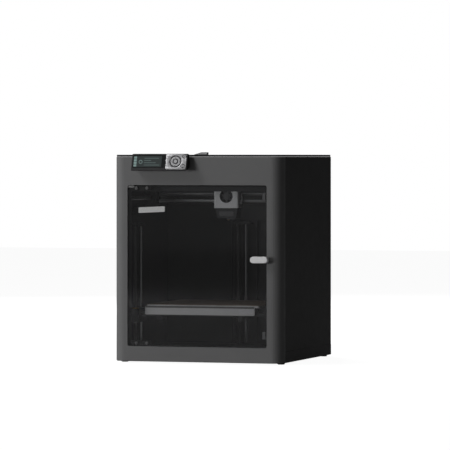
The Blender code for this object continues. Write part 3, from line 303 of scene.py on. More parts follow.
OWN_FINISHES = {
    "screw_steel": ("steel", moulded("blackened_steel", (0.19, 0.19, 0.19), 0.38, metallic=1.0,
                                     mottle=0.05, relief=0.000002)),
    "rod_steel": ("steel", moulded("polished_steel", (0.62, 0.62, 0.63), 0.13, metallic=1.0,
                                   mottle=0.03, relief=0.0000005, uneven=0.02)),
    # Painted shade: the upper X rod takes a darker copy of the rod steel, so it reads darker than the lower rod.
    "rod_dark": ("steel", moulded("rod_steel_painted_shade", (0.17, 0.17, 0.174), 0.32, metallic=1.0,
                                  mottle=0.03, relief=0.000001)),
    "hinge_black": ("shell_black", moulded("hinge_black_plastic", (0.010, 0.010, 0.010), 0.60,
                                           specular=0.2, mottle=0.05)),
    "hinge_cap": ("motor_black", moulded("hinge_cap_grey", (0.065, 0.065, 0.066), 0.40,
                                         metallic=0.3)),
    "trim_black": ("shell_black", moulded("trim_black_plastic", (0.018, 0.018, 0.0185), 0.55,
                                          specular=0.28, mottle=0.04, relief=0.000004,
                                          uneven=0.02)),
    "clip_metal": ("steel", moulded("clip_metal", (0.12, 0.12, 0.12), 0.40, metallic=0.4)),
    # The diffuser's faint glow is painted light: it stands in for the light that falls on the diffuser.
    "diffuser": ("tube_white", glowing("diffuser_painted_glow", (0.86, 0.86, 0.85), 0.42, 0.55)),
    # A dark grey strip of painted shadow along the top of the bed's front.
    "rim_grey": ("inner_black", moulded("bed_rim_painted_shadow", (0.085, 0.085, 0.085), 0.5,
                                        metallic=0.4)),
    # Dark grey for painted shade in the creases of the D-pad and the OK key.
    "key_dark": ("motor_black", moulded("key_groove_painted_shade", (0.022, 0.022, 0.023), 0.5)),
    "rotor_grey": ("inner_black", moulded("rotor_grey", (0.045, 0.045, 0.046), 0.45)),
    "screen_dark": ("smoked_glass", glowing("screen_panel", (0.020, 0.023, 0.0225), 0.85)),
    "screen_teal": ("smoked_glass", glowing("screen_symbols", (0.135, 0.18, 0.172), 0.88)),
    "screen_pale": ("smoked_glass", glowing("screen_lines", (0.060, 0.076, 0.074), 1.2)),
    "display_pane": ("smoked_glass", tinted_glass("display_pane", (0.90, 0.92, 0.92), ior=1.22)),
    "braid": ("rubber", braid_finish()),
    "circuit": ("motor_black", circuit_finish()),
    "seal": ("rubber", moulded("door_seal_rubber", (0.010, 0.010, 0.010), 0.80, specular=0.2)),
    "connector": ("light_grey", moulded("connector_cream", (0.60, 0.58, 0.50), 0.45,
                                        mottle=0.04)),
}
CAD_FINISHES = {
    # The upper X rod's darker steel is painted shade.
    "toolhead_fan_rotor": "rotor_grey", "cutter_lever": "hinge_cap", "x_rod_upper": "rod_dark",
    "z_rod_left": "rod_steel", "z_rod_right": "rod_steel", "z_rod_rear": "rod_steel",
    "door_hinge_upper": "hinge_black", "door_hinge_lower": "hinge_black",
    "lid_frame": "trim_black", "display_housing": "trim_black",
}


def slot_and_finish(name):
    """The slot and the material of a finish, called by its slot's name or by its own."""
    return OWN_FINISHES.get(name) or (name, FINISHES[name])


def dress_cad_nodes():
    """Give each CAD node its own finish, or else that of its slot in the record."""
    for subpart in frame["record"]["subparts"]:
        name = subpart["node"]
        finish = slot_and_finish(CAD_FINISHES.get(name, subpart["material_slot"]))[1]
        cad_node = frame["nodes"][name]
        if not cad_node.material_slots:
            cad_node.data.materials.append(finish)
        for slot in cad_node.material_slots:
            slot.material = finish


# ---- Outlines, paths and rings ---------------------------
def turns(steps):
    return [2 * math.pi * step / steps for step in range(steps)]


def polar(centre, radius, turn):
    return centre[0] + radius * math.cos(turn), centre[1] + radius * math.sin(turn)


def circle(centre, radius, steps=ROUND_STEPS):
    return [polar(centre, radius, turn) for turn in turns(steps)]


def rounded(u, v, radius, steps=5):
    """A rectangle outline with round corners."""
    if radius == 0:
        return [(u[0], v[0]), (u[1], v[0]), (u[1], v[1]), (u[0], v[1])]
    outline = []
    for cu, cv, start, du, dv in ((u[1], v[0], -90, -1, 1), (u[1], v[1], 0, -1, -1),
                                  (u[0], v[1], 90, 1, -1), (u[0], v[0], 180, 1, 1)):
        centre = (cu + du * radius, cv + dv * radius)
        outline += [polar(centre, radius, math.radians(start + 90 * step / steps))
                    for step in range(steps + 1)]
    return outline


def smooth_path(control, steps):
    """Points of a smooth curve through the control points, steps to each span."""
    control = [Vector(point) for point in control]
    points = []
    last = len(control) - 1
    for i in range(last):
        before, start = control[max(i - 1, 0)], control[i]
        end, after = control[i + 1], control[min(i + 2, last)]
        for step in range(steps):
            t = step / steps
            points.append(0.5 * ((2 * start) + (end - before) * t
                                 + (2 * before - 5 * start + 4 * end - after) * t ** 2
                                 + (3 * start - before - 3 * end + after) * t ** 3))
    points.append(control[-1])
    return points


def lift(point, height, axis="Z"):
    """An outline point put in space: the outline's axes are XY for Z, XZ for Y and YZ for X."""
    if axis == "Z":
        return Vector((point[0], point[1], height))
    if axis == "Y":
        return Vector((point[0], height, point[1]))
    return Vector((height, point[0], point[1]))


def add_path(bm, outline, height, axis="Z"):
    """Add an outline's points at a place along the axis."""
    return [bm.verts.new(lift(point, height, axis)) for point in outline]


def join_rings(bm, rings, ends=True):
    """Add the faces between rings of the same length, and the two end faces."""
    for first, second in zip(rings, rings[1:]):
        for i in range(len(first)):
            j = (i + 1) % len(first)
            bm.faces.new((first[i], first[j], second[j], second[i]))
    if ends:
        bm.faces.new(rings[0])
        bm.faces.new(rings[-1])


# ---- Solids and pieces -----------------------------------
def add_slab(bm, outline, span, axis, edge=0.0003):
    """Add the outline, extruded over the span, with its rims chamfered by edge."""
    low, high = span
    middle_u = sum(point[0] for point in outline) / len(outline)
    middle_v = sum(point[1] for point in outline) / len(outline)
    shrink_u = 1 - edge / max(abs(point[0] - middle_u) for point in outline)
    shrink_v = 1 - edge / max(abs(point[1] - middle_v) for point in outline)
    inset = [(middle_u + (u - middle_u) * shrink_u, middle_v + (v - middle_v) * shrink_v)
             for u, v in outline]
    layers = ((inset, low), (outline, low + edge), (outline, high - edge), (inset, high))
    join_rings(bm, [add_path(bm, path, height, axis) for path, height in layers])
    return bm


def add_bar(bm, u, v, span, axis, radius=0.0, edge=0.0003, steps=5):
    """Add a block whose outline is a rounded rectangle."""
    return add_slab(bm, rounded(u, v, radius, steps), span, axis, edge)


def add_turned(bm, profile, centre, axis="Z", steps=SMALL_STEPS, closed=False):
    """Add a turned solid. Its profile is (radius, place); a closed one is a loop round a bore."""
    rings = []
    for radius, place in profile:
        outline = circle(centre, radius, steps) if radius else [centre]
        rings.append(add_path(bm, outline, place, axis))
    pairs = list(zip(rings, rings[1:])) + ([(rings[-1], rings[0])] if closed else [])
    for first, second in pairs:
        for i in range(steps):
            j = (i + 1) % steps
            quad = [first[i % len(first)], first[j % len(first)]]
            quad += [second[j % len(second)], second[i % len(second)]]
            bm.faces.new(list(dict.fromkeys(quad)))
    return bm


def add_pin(bm, centre, radius, span, steps=SMALL_STEPS):
    """Add a plain upright pin."""
    low, high = span
    return add_turned(bm, [(0, low), (radius, low), (radius, high), (0, high)], centre, "Z", steps)


def add_ring(bm, centre, inner, outer, span, axis="Z", edge=0.0003, steps=ROUND_STEPS):
    low, high = span
    profile = [(inner, low), (outer - edge, low), (outer, low + edge), (outer, high - edge),
               (outer - edge, high), (inner, high)]
    return add_turned(bm, profile, centre, axis, steps, True)


def add_tube(bm, points, radius, steps=12):
    """Add a round tube along the points, with closed ends."""
    rings = []
    across = Vector((1, 0, 0))
    for i, point in enumerate(points):
        along = (points[min(i + 1, len(points) - 1)] - points[max(i - 1, 0)]).normalized()
        across = (across - along * across.dot(along)).normalized()
        up = along.cross(across)
        rings.append([bm.verts.new(point + (across * math.cos(turn) + up * math.sin(turn)) * radius)
                      for turn in turns(steps)])
    join_rings(bm, rings)
    return bm


def new_bar(*sizes):
    """One block as a mesh: see add_bar()."""
    return add_bar(bmesh.new(), *sizes)


def new_ring(*sizes):
    """One ring as a mesh: see add_ring()."""
    return add_ring(bmesh.new(), *sizes)


def new_tube(points, radius):
    return add_tube(bmesh.new(), points, radius)


def add_screw(bm, place, out, radius=0.0028, rise=0.0013):
    """Add a button-head screw with a six-sided socket, its seat at place and its axis along out."""
    steps, sixth = 18, math.pi / 3
    before = len(bm.verts)
    profile = [(radius, 0.0), (radius, rise * 0.35), (radius * 0.86, rise * 0.8),
               (radius * 0.62, rise)]
    rings = [add_path(bm, circle((0, 0), r, steps), height) for r, height in profile]
    socket = []
    for turn in turns(steps):
        to_flat = math.cos(sixth / 2) / math.cos((turn % sixth) - sixth / 2)
        socket.append(polar((0, 0), radius * 0.45 * to_flat, turn))
    rings += [add_path(bm, socket, height) for height in (rise, rise * 0.3)]
    join_rings(bm, rings)
    to_place = Vector(out).to_track_quat("Z", "Y").to_matrix().to_4x4()
    to_place.translation = Vector(place)
    bm.verts.ensure_lookup_table()
    bmesh.ops.transform(bm, matrix=to_place, verts=bm.verts[before:])


def piece(name, bm, finish_name, body=None):
    """A piece in world coordinates that rides on a body."""
    slot, finish = slot_and_finish(finish_name)
    bmesh.ops.recalc_face_normals(bm, faces=bm.faces)
    mesh = bpy.data.meshes.new(name)
    bm.to_mesh(mesh)
    bm.free()
    mesh.shade_smooth()
    mesh.set_sharp_from_angle(angle=SMOOTH_ANGLE)
    mesh.materials.append(finish)
    obj = bpy.data.objects.new(name, mesh)
    bpy.context.scene.collection.objects.link(obj)
    if body:
        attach(obj, body)
    return obj


def screws(name, places, out, rise=0.0013):
    bm = bmesh.new()
    for place in places:
        add_screw(bm, place, out, rise=rise)
    piece(name, bm, "motor_black", "root")


# ---- Display ---------------------------------------------
press_axis = next(joint["axis"] for joint in frame["joints"] if joint["name"] == "dpad_press")
FACE_OUT = -Vector(press_axis).normalized()
FACE_UP = FACE_OUT.cross(Vector((1, 0, 0)))
housing_points = [vertex.co for vertex in frame["nodes"]["display_housing"].data.vertices]
FACE_LEVEL = max(point.dot(FACE_OUT) for point in housing_points)
FACE_FOOT = min(point.dot(FACE_UP) for point in housing_points
                if point.dot(FACE_OUT) > FACE_LEVEL - 1e-5)
WINDOW_X, WINDOW_UP = (-0.1424, -0.0681), (0.0056, 0.0353)
SCREEN_X, SCREEN_UP = (-0.1412, -0.0760), (0.0082, 0.0330)
PLATE_X, PLATE_UP = (-0.0655, -0.0188), (0.0022, 0.0366)
PLATE_THICK = 0.0005
RING_TOP = 0.0008
FINE_EDGE = 0.00003


def face_piece(name, bm, finish_name, body="root"):
    """A piece moved from (X across, Y up the face, Z out of it) to the display's leaning face."""
    place = FACE_OUT * FACE_LEVEL + FACE_UP * FACE_FOOT
    turn = Matrix((Vector((1, 0, 0)), FACE_UP, FACE_OUT)).transposed().to_4x4()
    bmesh.ops.transform(bm, matrix=Matrix.Translation(place) @ turn, verts=bm.verts)
    piece(name, bm, finish_name, body)


def face_spot(node_name):
    """Where a key's centre is on the face: (X, distance up the face)."""
    centre = middle_of(node_name)
    return centre.x, centre.dot(FACE_UP) - FACE_FOOT


def make_display():
    for name, x, up, level, radius, edge, finish in (
            ("window", WINDOW_X, WINDOW_UP, (-0.0005, 0.0001), 0.0019, HAIR, "display_pane"),
            ("bezel", WINDOW_X, WINDOW_UP, (-0.0011, -0.0009), 0.0019, CLOSE, "hinge_black"),
            ("screen", SCREEN_X, SCREEN_UP, (-0.0009, -0.0008), 0.0006, FINE_EDGE, "screen_dark")):
        face_piece("display_" + name, new_bar(x, up, level, "Z", radius, edge), finish)
    make_screen_symbols()


def make_screen_symbols():
    """Generic marks: a column of four icons, a progress ring, and bars in place of text."""
    level = (-0.0008, -0.00072)
    left, (low, high) = SCREEN_X[0], SCREEN_UP
    icons, bars = bmesh.new(), bmesh.new()
    for row in range(4):
        add_bar(icons, span_at(left, 0.0006, 0.0074), span_at(low + row * 0.0060, 0.0006, 0.0056),
                level, "Z", 0.0010, FINE_EDGE)
    ring_centre = (left + 0.0165, (low + high) / 2 - 0.0010)
    add_ring(icons, ring_centre, 0.0030, 0.0042, level, "Z", FINE_EDGE)
    for row, width in enumerate((0.034, 0.016, 0.027, 0.036)):
        add_bar(bars, span_at(left, 0.0245, 0.0245 + width),
                span_at(high - row * 0.0052, -0.0058, -0.0043), level, "Z", 0.0005, FINE_EDGE)
    face_piece("display_icons", icons, "screen_teal")
    face_piece("display_bars", bars, "screen_pale")


def holed_plate(outline, holes, thick, bevel):
    """A flat plate with round holes and soft rims, lying on Z = 0, as a mesh."""
    curve = bpy.data.curves.new("plate_outline", "CURVE")
    curve.dimensions = "2D"
    curve.fill_mode = "BOTH"
    curve.extrude = thick / 2 - bevel
    curve.bevel_depth = bevel
    curve.bevel_resolution = 1
    for path in [outline] + [circle(spot, radius) for spot, radius in holes]:
        spline = curve.splines.new("POLY")
        spline.points.add(len(path) - 1)
        spline.use_cyclic_u = True
        for target, point in zip(spline.points, path):
            target.co = (*point, 0.0, 1.0)
    holder = bpy.data.objects.new("plate_outline", curve)
    bpy.context.scene.collection.objects.link(holder)
    drawn = holder.evaluated_get(bpy.context.evaluated_depsgraph_get())
    mesh = bpy.data.meshes.new_from_object(drawn)
    bpy.data.objects.remove(holder, do_unlink=True)
    bm = bmesh.new()
    bm.from_mesh(mesh)
    bpy.data.meshes.remove(mesh)
    bmesh.ops.remove_doubles(bm, verts=bm.verts, dist=0.000001)
    bmesh.ops.translate(bm, verts=bm.verts, vec=(0, 0, thick / 2))
    return bm


def make_keypad():
    """The silver plate round the keys, with marks on the keys, and dark rings of painted shade in the D-pad's
    groove and round the OK key's middle.
    """
    holes = []
    for key, clearance in (("dpad_ring", 0.0005), ("home_button", 0.0004),
                           ("back_button", 0.0004)):
        low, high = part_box(key)
        holes.append((face_spot(key), (high.x - low.x) / 2 + clearance))
    plate = holed_plate(rounded(PLATE_X, PLATE_UP, 0.0032), holes, PLATE_THICK, HAIR)
    face_piece("keypad_plate", plate, "silver")

    spot = face_spot("dpad_ring")
    arrows = bmesh.new()
    for turn in turns(4):
        tip, foot = polar(spot, 0.0100, turn), polar(spot, 0.0086, turn)
        corners = [polar(foot, reach, turn + math.pi / 2) for reach in (0.0011, -0.0011)]
        add_slab(arrows, [tip, *corners], (RING_TOP, RING_TOP + HAIR), "Z", FINE_EDGE)
    face_piece("dpad_marks", arrows, "shell_black", "dpad")
    # Dark rings of painted shade: one in the D-pad's dished groove, one round the OK key's bright middle.
    groove = new_ring(spot, 0.0110, 0.0134, span_at(RING_TOP, -0.0002, 0.0001), "Z", HAIR)
    face_piece("dpad_groove_shade", groove, "key_dark", "dpad")
    ring = new_ring(spot, 0.0038, 0.0058, (0.0011, 0.0013), "Z", CLOSE)
    face_piece("ok_key_shade_ring", ring, "key_dark", "ok_key")
    for key in ("home", "back"):
        spot = face_spot(key + "_button")
        mark = new_ring(spot, 0.0008, 0.0013, (0.0007, 0.0009), "Z", CLOSE, SMALL_STEPS)
        face_piece(key + "_key_mark", mark, "shell_black", key + "_key")
        rim = new_ring(spot, 0.0038, 0.0049, around(PLATE_THICK, HAIR), "Z", CLOSE)
        face_piece(key + "_key_rim", rim, "shell_black")


# ---- Door and lid ----------------------------------------
def make_door_trim():
    """Screw caps of the hinges, and the clip at the upper hinge."""
    door_low, door_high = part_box("door_glass")
    front = door_low.y
    profile = [(0, front - 0.0011), (0.0026, front - 0.0011), (0.0036, front - 0.0007),
               (0.0038, front), (0, front)]
    caps = bmesh.new()
    for hinge in ("door_hinge_upper", "door_hinge_lower"):
        low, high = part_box(hinge)
        level = (max(low.z, door_low.z) + min(high.z, door_high.z)) / 2
        for inset in (0.0145, 0.0390):
            add_turned(caps, profile, (low.x + inset, level), "Y")
    piece("door_hinge_caps", caps, "hinge_cap", "door")
    clip = new_bar(span_at(door_low.x, 0.0006, 0.0145),
                   span_at(door_high.z, -0.0048, -0.0002), skin(front, 0.0006), "Y", 0.0006, HAIR)
    piece("door_hinge_clip", clip, "clip_metal", "door")


def make_door_seal():
    """A soft strip round the opening behind the glass, open at the hinges, and two magnets."""
    door_low, door_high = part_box("door_glass")
    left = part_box("door_hinge_upper")[1].x + 0.003
    right = door_high.x + 0.0004
    strip = 0.0032
    bottom = span_at(door_low.z - 0.0012, 0.0006, strip)
    top = span_at(door_high.z + 0.0012, -strip, -0.0006)
    side = (bottom[1] + GAP, top[0] - GAP)
    seal = bmesh.new()
    for x, z in (((left, right), bottom), ((left, right), top), ((right - strip, right), side)):
        add_bar(seal, x, z, at_depths(0.0040, 0.0062), "Y", 0.0010, 0.0004, 3)
    piece("door_seal", seal, "seal", "root")
    magnets = bmesh.new()
    for z in (door_low.z + 0.018, door_high.z - 0.034):
        add_bar(magnets, span_at(right, -0.0105, -0.0040), (z, z + 0.016),
                at_depths(0.0042, 0.0120), "Y", 0.0010, 0.0004, 3)
    piece("door_magnets", magnets, "steel", "root")


def make_lid_trim():
    """The light face of the lid's grip tab."""
    foot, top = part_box("lid_glass")[1].z + GAP + 0.0004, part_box("lid_frame")[1].z - 0.0010
    outline = [(-0.0128, foot), (0.0144, foot), (0.0144, top), (0.0018, top)]
    face = add_slab(bmesh.new(), outline, skin(at_depth(0.027), 0.0006), "Y", 0.0002)
    piece("lid_tab_face", face, "head_grey", "lid")


# ---- Chamber ---------------------------------------------
def make_chamber_light():
    """The light bar on the left wall: a black tray with a pale diffuser towards the bed. The diffuser's faint glow
    is painted light, standing in for the light that falls on it.
    """
    wall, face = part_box("left_panel")[1].x, -0.168
    tray = new_bar(at_depths(0.103, 0.277), (0.3285, 0.3425), (wall + GAP, face - 0.0042), "X",
                   0.0020, 0.0008)
    piece("chamber_light_tray", tray, "inner_black", "root")
    lens = new_bar(at_depths(0.1038, 0.2762), (0.3293, 0.3417), (face - 0.0041, face), "X",
                   0.0018, 0.0010)
    piece("chamber_light_lens", lens, "diffuser", "root")


def make_back_wall_trim():
    """The filter's grille in the fan hole, and the back wall's screws."""
    fan = middle_of("exhaust_fan_rotor")
    grille = bmesh.new()
    add_ring(grille, (fan.x, fan.z), 0.0205, 0.0230, at_depths(0.3445, 0.3465), "Y")
    for row in range(-3, 4):
        height = row * 0.0056
        reach = math.sqrt(0.0208 ** 2 - height ** 2)
        add_bar(grille, around(fan.x, reach), around(fan.z + height, 0.0012),
                at_depths(0.3448, 0.3463), "Y")
    piece("chamber_filter_grille", grille, "inner_black", "root")
    places = [(x, at_depth(0.345), z) for x in (-0.150, 0.150) for z in (0.060, 0.180, 0.285)]
    places += [(x, at_depth(0.340), 0.360) for x in (-0.150, -0.060, 0.060, 0.150)]
    screws("back_wall_screws", places, (0, -1, 0))


def make_z_caps():
    """Caps over the upper ends of the Z screws and rods."""
    seat = 0.3062
    profile = [(0, seat), (0.0068, seat), (0.0068, seat + 0.0009), (0.0058, seat + 0.0019),
               (0, seat + 0.0022)]
    bm = bmesh.new()
    for kind in ("screw", "rod"):
        for side in Z_PLACES:
            add_turned(bm, profile, plan_centre(f"z_{kind}_{side}"))
    piece("z_end_caps", bm, "main_frame_metal", "root")


def add_pulley(bm, centre, heights, bore=0.0, teeth=18, radius=0.0060):
    """Add a toothed belt pulley with a flange at each end, about a vertical axis."""
    low, high = heights
    flange, lip = radius + 0.0009, 0.0012
    outline = []
    for tooth in range(teeth):
        for share, cut in ((0.0, 0.0), (0.35, 0.0), (0.5, 0.0006), (0.85, 0.0006)):
            outline.append(polar(centre, radius - cut, 2 * math.pi * (tooth + share) / teeth))
    join_rings(bm, [add_path(bm, outline, z) for z in (low + lip, high - lip)])
    for z in (low, high - lip + HAIR):
        top = z + lip - HAIR
        profile = [(bore, z), (flange - 0.0003, z), (flange, z + 0.0003), (flange, top - 0.0003),
                   (flange - 0.0003, top), (bore, top)]
        add_turned(bm, profile, centre, "Z", ROUND_STEPS, bore > 0)
    return bm


def make_lead_screw(side):
    """A screw with four starts and its belt pulley, in place of the plain CAD screw."""
    name = "z_screw_" + side
    centre, top = plan_centre(name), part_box(name)[1].z
    crest, root, pitch, starts = 0.0040, 0.0034, 0.002, 4
    start, steps, rise = 0.0215, 24, 0.0004
    levels = round((top - start) / rise)
    bm = bmesh.new()
    rings = []
    for level in range(levels + 1):
        z = start + (top - start) * level / levels
        path = []
        for step, turn in enumerate(turns(steps)):
            phase = (z / pitch - starts * step / steps) % 1.0
            wave = min(1.0, max(0.0, 1.5 - abs(phase - 0.5) * 6))
            path.append(polar(centre, root + (crest - root) * wave, turn))
        rings.append(add_path(bm, path, z))
    join_rings(bm, rings)
    add_pin(bm, centre, root, (0.0192, start + 0.0004), steps)
    add_pulley(bm, centre, (0.010, 0.020))
    screw = piece("threaded_screw_" + side, bm, "screw_steel", "screw_" + side)
    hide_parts(name)


# ---- Bed -------------------------------------------------
def make_bed_trim():
    """Nut flanges, bearing rims, springs, the front's tab, a dark strip of painted shadow along the top of the
    front, and the bed's cable.
    """
    bush_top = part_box("bed_carriage")[1].z
    for name, kind, reach, finish in (("z_nut_flanges", "screw", 0.0078, "brass"),
                                      ("z_bearing_rims", "rod", 0.0072, "steel")):
        bm = bmesh.new()
        for side in Z_PLACES:
            add_ring(bm, plan_centre(f"z_{kind}_{side}"), 0.0044, reach,
                     span_at(bush_top, 0.0001, 0.0018), "Z", 0.0005)
        piece(name, bm, finish, "bed")

    bed_low, bed_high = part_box("heatbed")
    floor, top = 0.1115, bed_high.z - 0.0053
    coils, per_coil = 5, 14
    springs = bmesh.new()
    for side in Z_PLACES:
        centre = plan_centre("bed_knob_" + side)
        points = []
        for step in range(coils * per_coil + 1):
            height = floor + (top - floor) * step / (coils * per_coil)
            points.append(lift(polar(centre, 0.0040, 2 * math.pi * step / per_coil), height))
        add_tube(springs, points, 0.00045, 8)
    piece("bed_springs", springs, "steel", "bed")

    # A dark strip across the top of the bed's front: painted shadow at the gap below the heated plate.
    rim = new_bar((-0.1330, 0.1195), (0.1208, 0.1249), skin(bed_low.y, 0.0006), "Y", 0.0008,
                  0.0002)
    piece("bed_front_painted_shadow", rim, "rim_grey", "bed")
    tab = new_bar((0.0850, 0.1190), (0.1085, 0.1200), skin(bed_low.y, 0.0007), "Y", 0.0012,
                  0.0002)
    piece("bed_front_tab", tab, "silver", "bed")
    rear = bed_high.y
    route = [(0.030, rear - 0.004, 0.1215), (0.034, rear + 0.006, 0.1200),
             (0.036, rear + 0.004, 0.1140), (0.030, rear - 0.020, 0.1132),
             (0.010, rear - 0.040, 0.1132)]
    piece("bed_cable", new_tube(smooth_path(route, 6), 0.0017), "braid", "bed")


# ---- Gantry and belts ------------------------------------
IDLER_X, IDLER_DEPTH, IDLER_RADIUS, IDLER_TEETH = 0.1547, 0.2092, 0.0045, 16
FRONT_IDLER_X, FRONT_IDLER_DEPTH = 0.167, 0.050
BELT_LEVEL = [corner.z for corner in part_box("xy_belt_left")]
PULLEY_LEVEL = [corner.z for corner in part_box("xy_pulley_left")]
PULLEY_FOOT, PULLEY_TOP = PULLEY_LEVEL


def add_toothed_belt(bm, reach, depth, heights):
    """Add a belt along X, reach to both sides of the middle, whose teeth face the front."""
    thick, tooth, pitch = 0.0008, 0.0006, 0.002
    face = at_depth(depth)
    count = round(2 * reach / pitch)
    outline = [(-reach, face + thick)]
    for i in range(count):
        x = -reach + 2 * reach * i / count
        outline += [(x, face), (x + pitch * 0.4, face), (x + pitch * 0.5, face - tooth),
                    (x + pitch * 0.9, face - tooth)]
    outline += [(reach, face), (reach, face + thick)]
    join_rings(bm, [add_path(bm, outline, z) for z in heights])
    return bm


def make_gantry():
    block_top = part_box("gantry_block_left")[1].z
    brackets, idlers, bolts, collars = bmesh.new(), bmesh.new(), bmesh.new(), bmesh.new()
    for side in SIDES:
        add_bar(brackets, sorted((side * 0.1533, side * 0.1745)), at_depths(0.1900, 0.2150),
                span_at(block_top, 0.0001, 0.0028), "Z", 0.0030, 0.0005)
        centre = (side * IDLER_X, at_depth(IDLER_DEPTH))
        add_pulley(idlers, centre, PULLEY_LEVEL, teeth=IDLER_TEETH, radius=IDLER_RADIUS)
        add_pin(bolts, centre, 0.0018, (block_top + 0.0029, PULLEY_FOOT - 0.0002))
        add_screw(bolts, (*centre, PULLEY_TOP - HAIR), (0, 0, 1), 0.0032, 0.0018)
        for depth in (0.2100, 0.1945):
            add_screw(bolts, (side * 0.1690, at_depth(depth), block_top + 0.0028), (0, 0, 1),
                      0.0026, 0.0014)
    piece("gantry_brackets", brackets, "main_frame_metal", "gantry")
    piece("gantry_idlers", idlers, "aluminium", "gantry")
    piece("gantry_bolts", bolts, "steel", "gantry")
    belt = add_toothed_belt(bmesh.new(), IDLER_X, 0.2139, BELT_LEVEL)
    piece("gantry_belt", belt, "rubber", "gantry")
    for name in ("x_rod_upper", "x_rod_lower"):
        rod = middle_of(name)
        for side in SIDES:
            add_ring(collars, (rod.y, rod.z), 0.0042, 0.0062,
                     sorted((side * 0.1552, side * 0.1578)), "X", 0.0004, SMALL_STEPS)
    piece("x_rod_collars", collars, "motor_black", "gantry")


def make_front_idlers():
    """The two idlers that the XY belts turn round at the front, each hung from a plate."""
    plates, idlers, bolts = bmesh.new(), bmesh.new(), bmesh.new()
    for side in SIDES:
        centre = (side * FRONT_IDLER_X, at_depth(FRONT_IDLER_DEPTH))
        add_bar(plates, sorted((side * 0.1590, side * 0.1765)), at_depths(0.0382, 0.0600),
                span_at(PULLEY_TOP, 0.0010, 0.0038), "Z", 0.0025, 0.0005)
        add_pulley(idlers, centre, PULLEY_LEVEL)
        add_screw(bolts, (*centre, PULLEY_TOP + 0.0038), (0, 0, 1), 0.0034, 0.0018)
        add_pin(bolts, centre, 0.0026, span_at(PULLEY_TOP, -0.0001, 0.0010))
    piece("front_idler_plates", plates, "main_frame_metal", "root")
    piece("front_idlers", idlers, "aluminium", "root")
    piece("front_idler_bolts", bolts, "steel", "root")


def make_motor_pulleys():
    """Toothed pulleys in place of the plain ones, and the motors' bright middle bands."""
    for node_name, body in (("xy_pulley_left", "xy_drive_left"),
                            ("xy_pulley_right", "xy_drive_right"),
                            ("z_motor_pulley", "z_drive_pulley")):
        low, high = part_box(node_name)
        bm = add_pulley(bmesh.new(), plan_centre(node_name), (low.z, high.z), 0.0028)
        toothed = piece("toothed_" + node_name, bm, "aluminium", body)
        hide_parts(node_name)
    bands = bmesh.new()
    for name, foot, top in (("xy_motor_left", 0.342, 0.3782), ("xy_motor_right", 0.342, 0.3782),
                            ("z_motor", 0.0283, 0.064)):
        low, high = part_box(name)
        third = (top - foot) / 3
        add_bar(bands, (low.x - GAP, high.x + GAP), (low.y - GAP, high.y + GAP),
                (foot + third, top - third), "Z", 0.0042, 0.0002, 3)
    piece("motor_stators", bands, "aluminium", "root")


# ---- Toolhead --------------------------------------------
def make_toolhead():
    """The fan's bezel and hub, louvres, duct lip and wiper strip."""
    cover_low, cover_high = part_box("toolhead_cover")
    fan = middle_of("toolhead_fan_rotor")
    centre = (fan.x, fan.z)
    bezel = new_ring(centre, 0.0136, 0.0152, span_at(cover_low.y, -0.0005, 0.0009), "Y")
    piece("head_fan_bezel", bezel, "shell_black", "toolhead")
    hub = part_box("toolhead_fan_rotor")[0].y
    cap = add_turned(bmesh.new(), [(0, hub - 0.0008), (0.0060, hub - 0.0008),
                                   (0.0078, hub - 0.0002), (0.0080, hub + 0.0004),
                                   (0, hub + 0.0004)], centre, "Y", ROUND_STEPS)
    piece("head_fan_hub", cap, "rotor_grey", "toolhead_fan")

    louvres = bmesh.new()
    for x in ((cover_low.x - 0.0005, cover_low.x), (cover_high.x, cover_high.x + 0.0005)):
        for row in range(6):
            height = cover_low.z + 0.016 + row * 0.0062
            add_bar(louvres, at_depths(0.1765, 0.1870), (height, height + 0.0024), x, "X", 0.0010,
                    0.0002, 3)
    piece("head_side_louvres", louvres, "head_grey", "toolhead")

    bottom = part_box("toolhead_carriage")[0].z
    lip = new_bar(around(fan.x, 0.0165), span_at(bottom, 0.0040, 0.0150),
                  at_depths(0.1742, 0.1750), "Y", 0.0020)
    piece("head_duct_lip", lip, "rotor_grey", "toolhead")
    strip = new_bar(span_at(fan.x, 0.0010, 0.0190), span_at(bottom, -0.0030, -0.0003),
                    at_depths(0.1760, 0.1775), "Y", 0.0008)
    piece("head_wiper_strip", strip, "rotor_grey", "toolhead")
    make_hot_block()
    make_extruder_top(fan.x)


def make_hot_block():
    """The silicone sock round the heater, with the nozzle's six flats under it."""
    hot = middle_of("hotend")
    sock = new_bar(around(hot.x, 0.0098), around(hot.y, 0.0096), (0.3164, 0.3246), "Z", 0.0020,
                   0.0008)
    piece("nozzle_sock", sock, "seal", "toolhead")
    flats = circle((hot.x, hot.y), 0.0040, 6)
    nozzle = add_slab(bmesh.new(), flats, (0.3140, 0.3163), "Z")
    piece("nozzle_hex", nozzle, "brass", "toolhead")


